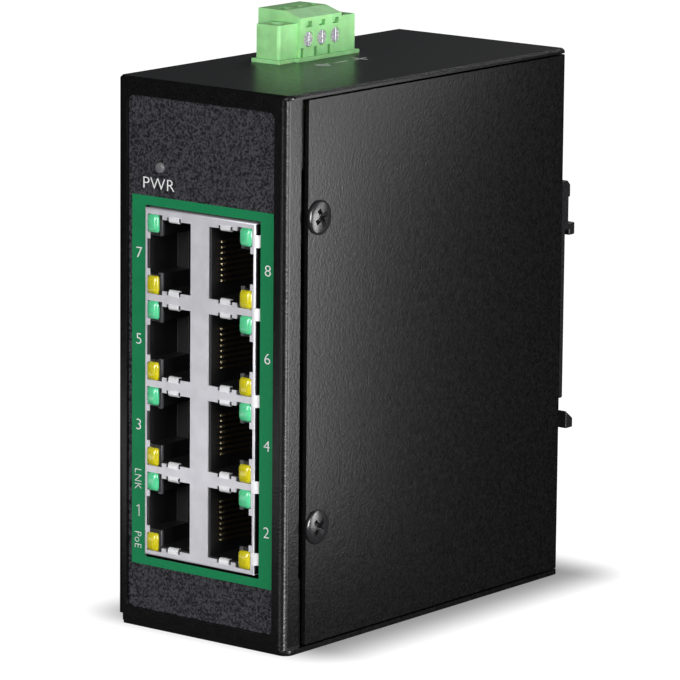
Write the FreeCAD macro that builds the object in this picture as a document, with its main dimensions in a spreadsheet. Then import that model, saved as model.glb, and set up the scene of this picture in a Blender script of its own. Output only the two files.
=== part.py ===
import FreeCAD, Part
import math
import os
import Sketcher
from FreeCAD import Rotation, Vector

# An eight-port Ethernet switch for a 35 mm DIN rail: a folded steel shell with a screwed-on side cover,
# a ganged block of RJ45 jacks in the front, a plug-in terminal block on the roof and a spring-latched
# rail clip on the back. Millimetres, +Z up, front towards -Y. The origin is at the middle of the whole
# part's width and depth, at the height of the face it stands on.

# A fine thread is drawn as a bar or a bore with this many flats, and a turn of a coil in this many steps.
THREAD_SIDES = 12
COIL_STEPS = 16

doc = FreeCAD.newDocument("din_rail_ethernet_switch")
sheet = doc.addObject("Spreadsheet::Sheet", "Sizes")

SIZES = (
    # Folded steel shell and cover.
    ("housing_depth", 73.2), ("gauge", 0.8), ("bend_radius", 1.1), ("roof_edge", 0.4),
    ("above_jacks", 20.9), ("strip_width", 4.3), ("strip_notch", 0.5), ("notch_end_inset", 12.2),
    ("cover_gap", 0.35), ("cover_end_gap", 0.3), ("relief_width", 1.4), ("relief_height", 1.6),
    ("rear_flange", 3.6),
    # Screws of the side cover.
    ("side_screw_inset", 7.3), ("side_screw_spacing", 50.0), ("screw_head_radius", 2.8),
    ("screw_head_height", 0.7), ("screw_radius", 1.5), ("screw_length", 4.0), ("hole_clearance", 0.1),
    ("tab_width", 9.0), ("tab_reach", 6.5), ("tab_lap", 1.6), ("nut_radius", 2.9), ("nut_length", 2.0),
    ("nut_clearance", 2.4), ("running_clearance", 0.05), ("fit_clearance", 0.1),
    # Front label in its shallow recess, and the light pipe.
    ("label_left", 2.0), ("label_right_border", 2.4), ("label_border", 2.9), ("label_radius", 1.1),
    ("label_depth", 0.5), ("label_thickness", 0.25), ("pipe_radius", 0.9), ("pipe_inset", 8.6),
    ("pipe_drop", 14.2), ("pipe_length", 6.2), ("led_size", 3.2),
    # Main board on its standoffs.
    ("standoff_height", 3.5), ("standoff_radius", 2.9), ("board_thickness", 1.6),
    ("board_front", 4.5), ("board_rear_gap", 4.0), ("board_border", 4.0), ("board_hole_inset", 4.0),
    ("board_screw_head_radius", 2.75), ("board_screw_head_height", 1.6), ("board_screw_gap", 0.55),
    # Ganged RJ45 block.
    ("jack_depth", 26.0), ("jack_inset", 0.3), ("jack_side_wall", 0.4), ("jack_end_wall", 0.56),
    ("port_rows", 4), ("shield_gauge", 0.25), ("port_height", 11.6), ("port_depth", 12.5),
    ("web_half", 1.85), ("cavity_width", 6.8), ("latch_width", 6.2), ("latch_depth", 7.0),
    ("latch_past_lens", 0.25), ("latch_side_wall", 0.7), ("port_gap", 2.37), ("lens_width", 1.85),
    ("lens_wall", 0.3), ("lens_depth", 8.0), ("lens_gap", 0.37), ("window_side_gap", 1.2),
    ("window_end_gap", 0.4), ("ground_tab_width", 2.0), ("ground_tab_inset", 2.8),
    ("finger_width", 1.9), ("finger_notch", 0.5), ("finger_length", 0.55), ("contact_count", 8),
    ("contact_pitch", 1.016), ("contact_width", 0.46), ("contact_gauge", 0.35), ("contact_rise", 2.4),
    ("contact_run", 6.0), ("contact_inset", 2.6),
    # Parts on the board.
    ("bay_gap", 2.0), ("part_gap", 2.5), ("magnetics_rise", 6.0), ("magnetics_depth", 9.5),
    ("magnetics_length", 12.5), ("chip_size", 14.0), ("chip_rise", 1.2), ("sink_border", 1.0),
    ("sink_base", 1.6), ("fin_height", 6.4), ("fin_width", 0.8), ("fin_count", 8),
    ("controller_size", 8.0), ("controller_rise", 1.0), ("coil_size", 7.5), ("coil_rise", 5.0),
    ("can_radius", 4.0), ("can_height", 14.0), ("can_gap", 1.0), ("fuse_length", 9.0),
    ("fuse_size", 3.0), ("crystal_depth", 3.2), ("crystal_length", 5.0), ("crystal_rise", 1.2),
    # Terminal block: header in the roof and the plug in it.
    ("plug_inset", 26.3), ("near_flange_length", 4.7), ("tall_length", 10.7), ("far_length", 3.5),
    ("plug_left", 3.6), ("plug_wall", 2.3), ("flange_step", 3.5), ("flange_width", 4.7),
    ("rim_height", 0.6), ("rim_border", 0.6), ("near_flange_height", 5.6), ("roof_height", 7.45),
    ("roof_flat", 5.6), ("face_height", 6.4), ("far_height", 5.9), ("header_drop", 10.0),
    ("header_floor", 2.0), ("header_wall", 0.8), ("opening_clearance", 0.15),
    ("pole_pitch", 3.5), ("pole_count", 3), ("first_pole", 2.2), ("pin_size", 0.9), ("pin_reach", 6.5),
    ("bar_inset", 2.3), ("bar_gauge", 0.4), ("bar_width", 1.4), ("chamber_low", 1.5),
    ("chamber_height", 2.6), ("chamber_width", 2.4), ("cage_wall", 0.5), ("cage_length", 4.2),
    ("cage_window", 1.6), ("cage_travel", 1.0), ("clamp_screw_radius", 0.95),
    ("clamp_head_radius", 1.25), ("clamp_head_length", 1.1), ("clamp_head_sink", 0.2),
    ("clamp_slot", 0.45), ("flange_head_radius", 1.45), ("flange_head_sink", 0.4),
    ("flange_head_length", 1.6), ("flange_screw_length", 10.0), ("face_window_width", 1.6),
    ("face_window_height", 0.95), ("face_window_drop", 1.1), ("face_slot_width", 0.8),
    ("face_slot_height", 1.5), ("face_slot_depth", 0.6),
    # Rail clip.
    ("rail_height", 35.0), ("rail_stand_off", 5.9), ("rail_slot", 1.2), ("hook_lip", 1.6),
    ("hook_drop", 1.0), ("hook_root", 1.1), ("hook_height", 57.9), ("neck_reach", 6.9),
    ("neck_height", 4.5), ("head_reach", 7.3), ("head_height", 2.9), ("head_chamfer", 0.8),
    ("channel_width", 14.0), ("channel_sink", 1.4), ("channel_depth", 3.2), ("channel_end_gap", 3.0),
    ("latch_clearance", 0.1), ("latch_preload", 0.5), ("catch_lip", 2.0), ("catch_rise", 3.1),
    ("catch_ramp", 1.5), ("catch_link", 2.0), ("shoulder_height", 5.6), ("latch_link_width", 20.0),
    ("latch_low", 6.0), ("tool_slot_width", 8.0), ("tool_slot_height", 3.0), ("spring_window", 6.8),
    ("spring_ledge_rise", 4.0), ("spring_ledge", 2.0), ("spring_length", 12.0),
    ("spring_radius", 1.2), ("spring_wire", 0.45), ("spring_turns", 7), ("clip_screw_wall", 0.6),
    ("clip_side_wall", 0.5), ("clip_screw_drop", 13.9), ("clip_screw_sink", 3.4),
)


class Size:
    """A length as a number and as the sheet expression that gives it."""

    def __init__(self, number, text):
        self.number = number
        self.text = text

    def __add__(self, other):
        return join(self, "+", other, number_of(self) + number_of(other))

    def __radd__(self, other):
        return join(other, "+", self, number_of(other) + number_of(self))

    def __sub__(self, other):
        return join(self, "-", other, number_of(self) - number_of(other))

    def __rsub__(self, other):
        return join(other, "-", self, number_of(other) - number_of(self))

    def __mul__(self, other):
        return join(self, "*", other, number_of(self) * number_of(other))

    def __rmul__(self, other):
        return join(other, "*", self, number_of(other) * number_of(self))

    def __truediv__(self, other):
        return join(self, "/", other, number_of(self) / number_of(other))

    def __neg__(self):
        return Size(-self.number, f"(0 - {self.text})")


def number_of(size):
    """The plain number of a length."""
    return size.number if isinstance(size, Size) else float(size)


def text_of(size):
    """The sheet expression of a length."""
    return size.text if isinstance(size, Size) else f"{float(size):.6f}"


def join(first, sign, second, number):
    """One length worked out from two others."""
    return Size(number, f"({text_of(first)} {sign} {text_of(second)})")


class Sizes:
    """The cells of the sheet as lengths, by alias."""


for row, (alias, number) in enumerate(SIZES, start=1):
    sheet.set(f"A{row}", alias)
    sheet.set(f"B{row}", str(number))
    sheet.setAlias(f"B{row}", alias)
doc.recompute()
dim = Sizes()
for alias, number in SIZES:
    setattr(dim, alias, Size(float(sheet.get(alias)), f"Sizes.{alias}"))

# Sizes that follow from what the housing holds.
latch_rise = dim.lens_wall + dim.lens_width + dim.latch_past_lens
jack_width = (dim.web_half + dim.cavity_width + latch_rise + dim.jack_side_wall) * 2
lens_corner = dim.latch_width / 2 + dim.latch_side_wall
port_pitch = dim.port_height + dim.port_gap
lens_height = (port_pitch - dim.lens_gap) / 2 - lens_corner
jack_length = port_pitch * dim.port_rows + dim.jack_end_wall * 2
board_hole_height = dim.gauge + dim.board_border + dim.board_hole_inset
jack_low = board_hole_height + dim.board_screw_head_radius + dim.board_screw_gap
housing_height = jack_low + jack_length + dim.above_jacks
board_stack = dim.gauge + dim.standoff_height + dim.board_thickness
front_width = board_stack + jack_width + dim.nut_clearance + dim.nut_length + dim.gauge * 2

# Planes that several pieces share.
left = -(front_width + dim.gauge + dim.screw_head_height) / 2
strip_face = left + front_width
cover_face = strip_face + dim.gauge
front = -(dim.housing_depth + dim.rail_stand_off + dim.rail_slot + dim.catch_lip) / 2
back_face = front + dim.housing_depth
rear = back_face - dim.gauge
floor_face = dim.gauge
roof_under = housing_height - dim.gauge
board_face = left + board_stack
board_back = board_face - dim.board_thickness
nodes = {}


def bind(thing, **sizes):
    """Ties properties of a document object to sheet expressions."""
    for name, size in sizes.items():
        thing.setExpression(name, text_of(size))


def place(thing, x, y, z, turn=None):
    """Puts a document object at a point given by expressions."""
    if turn:
        thing.Placement = FreeCAD.Placement(Vector(), turn)
    for axis, size in zip("xyz", (x, y, z)):
        thing.setExpression(f"Placement.Base.{axis}", text_of(size))
    return thing


def unique(name):
    """A document name that is still free."""
    count = 1
    while doc.getObject(f"{name}_{count}"):
        count += 1
    return f"{name}_{count}"


def block(name, x, y, z):
    """A box between two planes along each axis."""
    solid = doc.addObject("Part::Box", unique(name))
    bind(solid, Length=x[1] - x[0], Width=y[1] - y[0], Height=z[1] - z[0])
    return place(solid, x[0], y[0], z[0])


def lay(solid, axis, across, up, span):
    """Turns a solid that was made standing so that it runs along an axis from the span's first plane."""
    if axis == "x":
        return place(solid, span[0], across, up, Rotation(Vector(0, 1, 0), 90))
    if axis == "y":
        return place(solid, across, span[0], up, Rotation(Vector(1, 0, 0), -90))
    return place(solid, across, up, span[0])


def rod(name, axis, across, up, span, radius):
    """A cylinder along an axis, between two planes; across and up place its centre line."""
    solid = doc.addObject("Part::Cylinder", unique(name))
    bind(solid, Radius=radius, Height=span[1] - span[0])
    return lay(solid, axis, across, up, span)


def prism(name, sides, axis, across, up, span, radius):
    """An upright-sided bar like a rod, with flat sides; the radius is to its corners."""
    solid = doc.addObject("Part::Prism", unique(name))
    solid.Polygon = sides
    bind(solid, Circumradius=radius, Height=span[1] - span[0])
    return lay(solid, axis, across, up, span)


def tapped(name, axis, across, up, span, radius):
    """A threaded bore, whose flats lie at the radius."""
    return prism(name, THREAD_SIDES, axis, across, up, span, radius / math.cos(math.pi / THREAD_SIDES))


def fuse(name, *parts):
    """Several solids joined into one."""
    joined = doc.addObject("Part::MultiFuse", unique(name))
    joined.Shapes = list(parts)
    joined.Refine = True
    return joined


def group(name, *parts):
    """Separate solids kept together as one object."""
    kept = doc.addObject("Part::Compound", unique(name))
    kept.Links = list(parts)
    return kept


def cut(name, base, *tools):
    """A solid less the tools."""
    result = doc.addObject("Part::Cut", unique(name))
    result.Base = base
    result.Tool = tools[0] if len(tools) == 1 else fuse(f"{name}_tools", *tools)
    return result


def sketch_outline(body, name, plane, level, points):
    """A closed sketch of straight lines on one of the body's origin planes, raised to a level."""
    sketch = body.newObject("Sketcher::SketchObject", unique(name))
    support = next(item for item in body.Origin.OriginFeatures if item.Role == f"{plane}_Plane")
    sketch.AttachmentSupport = [(support, "")]
    sketch.MapMode = "FlatFace"
    sketch.setExpression("AttachmentOffset.Base.z", text_of(level))
    corners = [Vector(number_of(u), number_of(v), 0) for u, v in points]
    count = len(corners)
    for index, corner in enumerate(corners):
        sketch.addGeometry(Part.LineSegment(corner, corners[(index + 1) % count]), False)
    for index, (u, v) in enumerate(points):
        sketch.addConstraint(Sketcher.Constraint("Coincident", index, 2, (index + 1) % count, 1))
        for kind, size in (("DistanceX", u), ("DistanceY", v)):
            item = sketch.addConstraint(Sketcher.Constraint(kind, -1, 1, index, 1, number_of(size)))
            sketch.setExpression(f"Constraints[{item}]", text_of(size))
    return sketch


def padded(name, plane, span, points):
    """A body with one pad: the outline carried along the plane's axis from one level to another."""
    body = doc.addObject("PartDesign::Body", unique(name))
    level = -span[1] if plane == "XZ" else span[0]
    sketch = sketch_outline(body, f"{name}_outline", plane, level, points)
    pad = body.newObject("PartDesign::Pad", unique(f"{name}_pad"))
    pad.Profile = sketch
    bind(pad, Length=span[1] - span[0])
    doc.recompute()
    return body


def edged(body, kind, name, pick, **sizes):
    """Works the edges of a body that the test picks with a fillet or a chamfer."""
    tip = body.Tip
    edges = [f"Edge{index}" for index, edge in enumerate(tip.Shape.Edges, start=1) if pick(edge)]
    feature = body.newObject(f"PartDesign::{kind}", unique(name))
    feature.Base = (tip, edges)
    bind(feature, **sizes)
    doc.recompute()
    return body


def rounded(body, name, radius, pick):
    """Rounds the edges of a body that the test picks."""
    return edged(body, "Fillet", name, pick, Radius=radius)


def upright(x, y):
    """A test for edges that stand at a point of the plan."""
    def pick(edge):
        points = [vertex.Point for vertex in edge.Vertexes]
        return len(points) == 2 and all(
            abs(point.x - number_of(x)) < 1e-4 and abs(point.y - number_of(y)) < 1e-4 for point in points)
    return pick


def level(z):
    """A test for edges that lie at a height."""
    def pick(edge):
        return all(abs(vertex.Point.z - number_of(z)) < 1e-4 for vertex in edge.Vertexes)
    return pick


def rectangle(x, y):
    """The four corners of a rectangle between two planes each way."""
    return [(x[0], y[0]), (x[1], y[0]), (x[1], y[1]), (x[0], y[1])]


def node(name, solid):
    """Gives a finished sub-part its own label."""
    solid.Label = name
    nodes[name] = solid
    return solid


def around(middle, width):
    """The two planes of a width centred on a middle."""
    return middle - width / 2, middle + width / 2


# ---- Main shell: roof and floor plates, and one wall folded round the left, front and right strip. ----

def cover_screw_heights():
    """Heights of the two screws that hold the side cover."""
    return around(housing_height / 2, dim.side_screw_spacing)


def plate(name, low, high):
    """Roof or floor: rounded in plan like the bends of the wall and the cover below or above it."""
    body = padded(name, "XY", (low, high), rectangle((left, cover_face), (front, back_face)))
    rounded(body, f"{name}_fold", dim.bend_radius, upright(left, front))
    rounded(body, f"{name}_corner", dim.bend_radius + dim.gauge / 2, upright(cover_face, front))
    rounded(body, f"{name}_rear", dim.bend_radius, upright(cover_face, back_face))
    return body


def folded_wall():
    """The left side, the front and the right-hand strip as one bent sheet."""
    inner = dim.gauge
    strip_end = front + dim.strip_width
    points = [
        (left, rear), (left, front), (strip_face, front), (strip_face, strip_end),
        (strip_face - inner, strip_end), (strip_face - inner, front + inner),
        (left + inner, front + inner), (left + inner, rear - inner),
        (left + dim.rear_flange, rear - inner), (left + dim.rear_flange, rear),
    ]
    body = padded("wall", "XY", (floor_face, roof_under), points)
    for x in (left, strip_face):
        rounded(body, "outer_bend", dim.bend_radius, upright(x, front))
    for x in (left + inner, strip_face - inner):
        rounded(body, "inner_bend", dim.bend_radius - inner, upright(x, front + inner))
    return body


def strip_notch():
    """The long shallow notch in the strip's edge, with slanting ends."""
    edge = front + dim.strip_width
    depth = dim.strip_notch
    low = dim.notch_end_inset
    high = housing_height - dim.notch_end_inset
    points = [(edge + depth, low - depth * 2), (edge - depth, low), (edge - depth, high),
              (edge + depth, high + depth * 2)]
    return padded("strip_notch", "YZ", (strip_face - dim.gauge * 2, strip_face + dim.gauge), points)


def build_main_shell():
    """Roof, floor, folded wall, recessed label seat, screw tabs and every opening."""
    label_x = (left + dim.label_left, strip_face - dim.label_right_border)
    label_z = (dim.label_border, housing_height - dim.label_border)
    seat_depth = dim.label_depth + dim.label_thickness
    inner = front + dim.gauge
    wall = cut("notched_wall", folded_wall(), strip_notch())
    roof = plate("roof", roof_under, housing_height)
    edged(roof, "Chamfer", "roof_edge", level(housing_height), Size=dim.roof_edge)
    parts = [roof, plate("floor", 0 * dim.gauge, floor_face), wall,
             block("label_seat", label_x, (inner, inner + seat_depth), label_z)]
    for height in cover_screw_heights():
        parts += screw_tab(height)
    recess_y = (front - dim.gauge, front + seat_depth)
    recess = padded("label_recess", "XZ", recess_y, rectangle(label_x, label_z))
    for x in label_x:
        rounded(recess, "recess_corner", dim.label_radius, vertical_front(x))
    tools = [recess, jack_window(), pipe_hole(), relief(), *header_opening()]
    tab_span = (strip_face - dim.gauge * 3, strip_face + dim.gauge)
    for height in cover_screw_heights():
        tools.append(rod("tab_hole", "x", front + dim.side_screw_inset, height, tab_span,
                         dim.screw_radius + dim.hole_clearance))
    return cut("main_shell", fuse("shell_sheet", *parts), *tools)


def vertical_front(x):
    """A test for the four edges that run front to back at the sides of a front recess."""
    def pick(edge):
        points = [vertex.Point for vertex in edge.Vertexes]
        same = all(abs(point.x - number_of(x)) < 1e-4 for point in points)
        return same and len(points) == 2 and abs(points[0].y - points[1].y) > 0.1
    return pick


def screw_tab(height):
    """A tab that steps in behind the strip and out again under the cover, where it takes a screw."""
    inner = strip_face - dim.gauge
    reach = front + dim.strip_width + dim.tab_reach
    deep = block("tab_step", (inner - dim.gauge, inner), (front + dim.strip_width - dim.tab_lap, reach),
                 around(height, dim.tab_width))
    seat = block("tab_seat", (inner, strip_face), (front + dim.strip_width + dim.cover_gap * 2, reach),
                 around(height, dim.tab_width))
    return deep, seat


jack_left = board_face
jack_right = jack_left + jack_width
jack_middle = (jack_left + jack_right) / 2
jack_centre = jack_low + jack_length / 2
jack_front = front + dim.jack_inset
jack_rear = jack_front + dim.jack_depth
jack_z = (jack_low, jack_low + jack_length)


def jack_window():
    """The opening of the front for the ganged jacks, wider on the right."""
    return block("jack_window", (jack_left - dim.hole_clearance, jack_right + dim.window_side_gap),
                 (front - dim.gauge, front + dim.gauge * 4),
                 (jack_z[0] - dim.window_end_gap, jack_z[1] + dim.window_end_gap))


def pipe_hole():
    """The hole of the power light pipe."""
    return rod("pipe_hole", "y", left + dim.pipe_inset, housing_height - dim.pipe_drop,
               (front - dim.gauge, front + dim.gauge * 4), dim.pipe_radius + dim.running_clearance)


def relief():
    """The bend relief cut out of the lower left corner of the front."""
    return block("relief", (left - dim.gauge, left + dim.relief_width),
                 (front - dim.gauge, front + dim.relief_width), (0 - dim.gauge, dim.relief_height))


# ---- Terminal header: its outline in plan is also the opening of the roof. ----

plug_front = front + dim.plug_inset
tall_y = (plug_front + dim.near_flange_length, plug_front + dim.near_flange_length + dim.tall_length)
far_y = (tall_y[1], tall_y[1] + dim.far_length)
rim_top = housing_height + dim.rim_height
plug_back = left + dim.plug_left
flange_x = (plug_back + dim.flange_step, plug_back + dim.flange_step + dim.flange_width)
flange_middle = (flange_x[0] + flange_x[1]) / 2
cage_x = (plug_back + dim.plug_wall, plug_back + dim.plug_wall + dim.cage_length)
chamber_right = cage_x[1] + dim.cage_travel + dim.running_clearance
clamp_head_back = chamber_right + dim.running_clearance
clamp_head_face = clamp_head_back + dim.clamp_head_length
plug_face = clamp_head_face + dim.clamp_head_sink
bar = cage_x[0] + dim.bar_inset
rim_left = flange_x[0] - dim.rim_border
rim_right = plug_face + dim.rim_border
header_low = housing_height - dim.header_drop
socket_x = (flange_x[0] + dim.header_wall / 2, flange_x[1] - dim.fit_clearance)
socket_y = (tall_y[0] + dim.header_wall / 2, tall_y[1])
socket_floor = header_low + dim.header_floor
poles = range(int(dim.pole_count.number))
pole_places = [tall_y[0] + dim.first_pole + dim.pole_pitch * pole for pole in poles]
flange_places = (plug_front + dim.near_flange_length / 2, far_y[0] + dim.far_length / 2)


def header_plan(name, grow, z):
    """The header's two plan rectangles, grown by a clearance, between two heights."""
    near = block(name, (rim_left - grow, flange_x[1] + dim.rim_border + grow),
                 (plug_front - dim.rim_border - grow, tall_y[0]), z)
    main = block(name, (rim_left - grow, rim_right + grow),
                 (tall_y[0] - dim.rim_border * 2 - grow, far_y[1] + dim.rim_border + grow), z)
    return near, main


def header_opening():
    """The opening of the roof round the header."""
    through = (roof_under - dim.gauge, housing_height + dim.gauge)
    return header_plan("roof_opening", dim.opening_clearance, through)


def header_pin(place_y):
    """One square pin: in through the board, along the header's floor and up into its socket."""
    pin_x = bar + dim.bar_gauge + dim.running_clearance
    across = around(place_y, dim.pin_size)
    bend = around(header_low + dim.header_floor / 2, dim.pin_size)
    foot = block("pin_foot", (board_back - dim.pin_size, pin_x + dim.pin_size), across, bend)
    post = block("pin_post", (pin_x, pin_x + dim.pin_size), across, (bend[0], socket_floor + dim.pin_reach))
    return fuse("pin", foot, post)


def build_header():
    """The header body with its socket and the two nuts' holes in its end lugs."""
    body = fuse("header_body", *header_plan("collar", 0 * dim.gauge, (header_low, rim_top)),
                block("header_foot", (board_face, rim_left + dim.rim_border),
                      (plug_front - dim.rim_border, far_y[1] + dim.rim_border),
                      (header_low, roof_under - dim.cover_end_gap)))
    socket = block("socket", socket_x, socket_y, (socket_floor, rim_top + dim.gauge))
    lug_span = (rim_top - dim.flange_screw_length, rim_top + dim.gauge)
    lug_radius = dim.clamp_screw_radius + dim.running_clearance
    tools = [tapped("lug_hole", "z", flange_middle, place_y, lug_span, lug_radius)
             for place_y in flange_places]
    tools += [header_pin(place_y) for place_y in pole_places]
    node("terminal_header", cut("terminal_header", body, socket, *tools))
    node("header_pins", group("header_pins", *[header_pin(place_y) for place_y in pole_places]))


# ---- Side cover: the right side and the back, folded once. ----

cover_z = (floor_face + dim.cover_end_gap, roof_under - dim.cover_end_gap)
clip_middle = (left + cover_face) / 2
clip_screw_offset = dim.channel_width / 2 + dim.clip_screw_wall + dim.screw_head_radius
clip_screw_places = (clip_middle - clip_screw_offset, clip_middle + clip_screw_offset)
clip_screw_height = dim.hook_height - dim.clip_screw_drop
clip_x = around(clip_middle, (clip_screw_offset + dim.screw_head_radius + dim.clip_side_wall) * 2)


def build_side_cover():
    """An L in plan with two screw holes in its side and two in its back."""
    cover_front = front + dim.strip_width + dim.cover_gap
    points = [(strip_face, cover_front), (cover_face, cover_front), (cover_face, back_face),
              (left, back_face), (left, rear), (strip_face, rear)]
    body = padded("cover", "XY", cover_z, points)
    rounded(body, "cover_bend", dim.bend_radius, upright(cover_face, back_face))
    rounded(body, "cover_inner_bend", dim.bend_radius - dim.gauge, upright(strip_face, rear))
    radius = dim.screw_radius + dim.hole_clearance
    side_span = (strip_face - dim.gauge, cover_face + dim.gauge)
    tools = [rod("cover_hole", "x", front + dim.side_screw_inset, height, side_span, radius)
             for height in cover_screw_heights()]
    tools += [rod("back_hole", "y", x, clip_screw_height, (rear - dim.gauge, rear + dim.gauge * 2), radius)
              for x in clip_screw_places]
    node("side_cover", cut("side_cover", body, *tools))


def screw(name, axis, across, up, head_face, head, shank_length):
    """A pan-head screw whose head sits on a face; its shank runs the other way and stands for the thread."""
    head_radius, head_height = head
    head_span = (head_face, head_face + head_height)
    shank_span = (head_face - shank_length, head_face)
    return fuse(name, rod(f"{name}_head", axis, across, up, head_span, head_radius),
                prism(f"{name}_shank", THREAD_SIDES, axis, across, up, shank_span, dim.screw_radius))


def nut(name, axis, across, up, span):
    """A six-sided nut on a screw's thread."""
    bore = (span[0] - dim.gauge, span[1] + dim.gauge)
    return cut(name, prism(f"{name}_body", 6, axis, across, up, span, dim.nut_radius),
               tapped(f"{name}_bore", axis, across, up, bore, dim.screw_radius + dim.running_clearance))


def build_cover_screws():
    """The two screws of the side cover and the press-in nuts behind the strip's tabs."""
    head = (dim.screw_head_radius, dim.screw_head_height)
    place_y = front + dim.side_screw_inset
    nut_face = strip_face - dim.gauge * 2
    screws = [screw("side_screw", "x", place_y, height, cover_face, head, dim.screw_length)
              for height in cover_screw_heights()]
    nuts = [nut("cover_nut", "x", place_y, height, (nut_face - dim.nut_length, nut_face))
            for height in cover_screw_heights()]
    node("side_screws", group("side_screws", *screws))
    node("cover_nuts", group("cover_nuts", *nuts))


def build_label():
    """The overlay that lies in the front's recess, cut out round the jacks and the light pipe."""
    face = front + dim.label_depth
    label_x = (left + dim.label_left, strip_face - dim.label_right_border)
    label_z = (dim.label_border, housing_height - dim.label_border)
    body = padded("label", "XZ", (face, face + dim.label_thickness), rectangle(label_x, label_z))
    for x in label_x:
        rounded(body, "label_corner", dim.label_radius, vertical_front(x))
    node("front_label", cut("front_label", body, jack_window(), pipe_hole()))


def build_power_light():
    """The light pipe in the front, and the lamp on the board that shines into it."""
    x = left + dim.pipe_inset
    z = housing_height - dim.pipe_drop
    pipe_y = (front + dim.label_depth - dim.gauge / 2, front + dim.pipe_length)
    node("power_light_pipe", rod("pipe", "y", x, z, pipe_y, dim.pipe_radius))
    node("power_led", block("power_led", (board_face, x + dim.led_size / 2),
                            (pipe_y[1], pipe_y[1] + dim.led_size), around(z, dim.led_size)))


# ---- Ganged jacks. ----

def across(side, inner, outer):
    """Two planes on one side of the jack's middle, by their distance from it."""
    if side < 0:
        return jack_middle - outer, jack_middle - inner
    return jack_middle + inner, jack_middle + outer


def ports():
    """Each port's side of the middle and the height of its centre."""
    rows = int(dim.port_rows.number)
    for row in range(rows):
        height = jack_centre + port_pitch * ((rows - 1) / 2 - row)
        for side in (-1, 1):
            yield side, height


def cavity_edge():
    """Distance from the jack's middle to the outer wall of a cavity."""
    return dim.web_half + dim.cavity_width


def port_cavity(side, height, grow, y_span, latch_end):
    """A port's cavity and its latch channel."""
    edge = cavity_edge()
    cavity = block("cavity", across(side, dim.web_half - grow, edge + grow), y_span,
                   around(height, dim.port_height + grow * 2))
    latch = block("latch", across(side, edge, edge + latch_rise + grow), (y_span[0], latch_end),
                  around(height, dim.latch_width + grow * 2))
    return cavity, latch


def lens_seat(side, height, upward, grow, y_span):
    """The space of one indicator lens at an outer corner of a port."""
    edge = cavity_edge() + dim.lens_wall
    if upward:
        z = (height + lens_corner - grow, height + lens_corner + lens_height + grow)
    else:
        z = (height - lens_corner - lens_height - grow, height - lens_corner + grow)
    return block("lens", across(side, edge - grow, edge + dim.lens_width + grow), y_span, z)


def build_jack_body():
    """The moulded body: eight cavities with latch channels and sixteen lens seats."""
    face = jack_front + dim.shield_gauge
    skin = dim.shield_gauge
    body = block("jack_body", (jack_left, jack_right - skin), (face, jack_rear - skin),
                 (jack_z[0] + skin, jack_z[1] - skin))
    tools = []
    cavity_y = (face - dim.gauge, face + dim.port_depth)
    for side, height in ports():
        tools += port_cavity(side, height, 0, cavity_y, face + dim.latch_depth)
        for upward in (True, False):
            tools.append(lens_seat(side, height, upward, 0, (face - dim.gauge, face + dim.lens_depth)))
    node("jack_housing", cut("jack_housing", body, *tools))


def finger_notches(side, height, y_span):
    """The four short slits that free a spring finger in the upper and the lower edge of a port's window."""
    middle = dim.web_half + dim.cavity_width / 2
    reach = dim.finger_width / 2 + dim.finger_notch
    edge = dim.port_height / 2
    for inner in (middle - reach, middle + dim.finger_width / 2):
        for low in (height - edge - dim.finger_length, height + edge - dim.running_clearance):
            yield block("finger_notch", across(side, inner, inner + dim.finger_notch), y_span,
                        (low, low + dim.finger_length + dim.running_clearance))


def ground_tabs():
    """The tabs on the shield's right side that reach over to the edge of the front's opening."""
    ends = (jack_z[0] + dim.ground_tab_inset, jack_z[1] - dim.ground_tab_inset)
    rows = int(dim.port_rows.number)
    heights = [jack_centre + port_pitch * (row - rows / 2) for row in range(1, rows)]
    tab_x = (jack_right - dim.shield_gauge / 2, jack_right + dim.window_side_gap - dim.running_clearance)
    tab_y = (jack_front, jack_front + dim.shield_gauge)
    return [block("ground_tab", tab_x, tab_y, around(height, dim.ground_tab_width))
            for height in (*heights, *ends)]


def build_jack_shield():
    """The plated shield: a box round the body, open towards the board, with windows in its face."""
    skin = dim.shield_gauge
    box = block("shield", (jack_left, jack_right), (jack_front, jack_rear), jack_z)
    inside = block("shield_inside", (jack_left - skin, jack_right - skin),
                   (jack_front + skin, jack_rear - skin), (jack_z[0] + skin, jack_z[1] - skin))
    tools = [inside]
    window = (jack_front - skin, jack_front + skin * 2)
    for side, height in ports():
        tools += port_cavity(side, height, dim.running_clearance, window, window[1])
        tools += finger_notches(side, height, window)
        for upward in (True, False):
            tools.append(lens_seat(side, height, upward, dim.running_clearance, window))
    node("jack_shield", fuse("jack_shield", cut("shield_box", box, *tools), *ground_tabs()))


def build_lenses():
    """A green lens above and a yellow lens below each port's latch."""
    face = jack_front + dim.shield_gauge
    lens_y = (jack_front - dim.running_clearance, face + dim.lens_depth)
    for name, upward in (("green_led_lenses", True), ("yellow_led_lenses", False)):
        lenses = [lens_seat(side, height, upward, 0, lens_y) for side, height in ports()]
        node(name, group(name, *lenses))


def build_contacts():
    """Eight spring contacts in each port, rising from the wall beside the middle web."""
    wires = []
    start = number_of(jack_front + dim.shield_gauge + dim.contact_inset)
    run = dim.contact_run.number
    gauge = dim.contact_gauge.number
    width = dim.contact_width.number
    count = int(dim.contact_count.number)
    for side, height in ports():
        wall = number_of(jack_middle) + side * dim.web_half.number
        tip = wall + side * dim.contact_rise.number
        plan = [(wall, start), (wall, start + gauge * 2), (tip, start + run), (tip, start + run - gauge * 2)]
        for contact in range(count):
            z = number_of(height) + (contact - (count - 1) / 2) * dim.contact_pitch.number - width / 2
            corners = [Vector(x, y, z) for x, y in plan]
            face = Part.Face(Part.makePolygon(corners + corners[:1]))
            wires.append(face.extrude(Vector(0, 0, width)))
    contacts = doc.addObject("Part::Feature", "contacts")
    contacts.Shape = Part.makeCompound(wires)
    node("jack_contacts", contacts)


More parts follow.
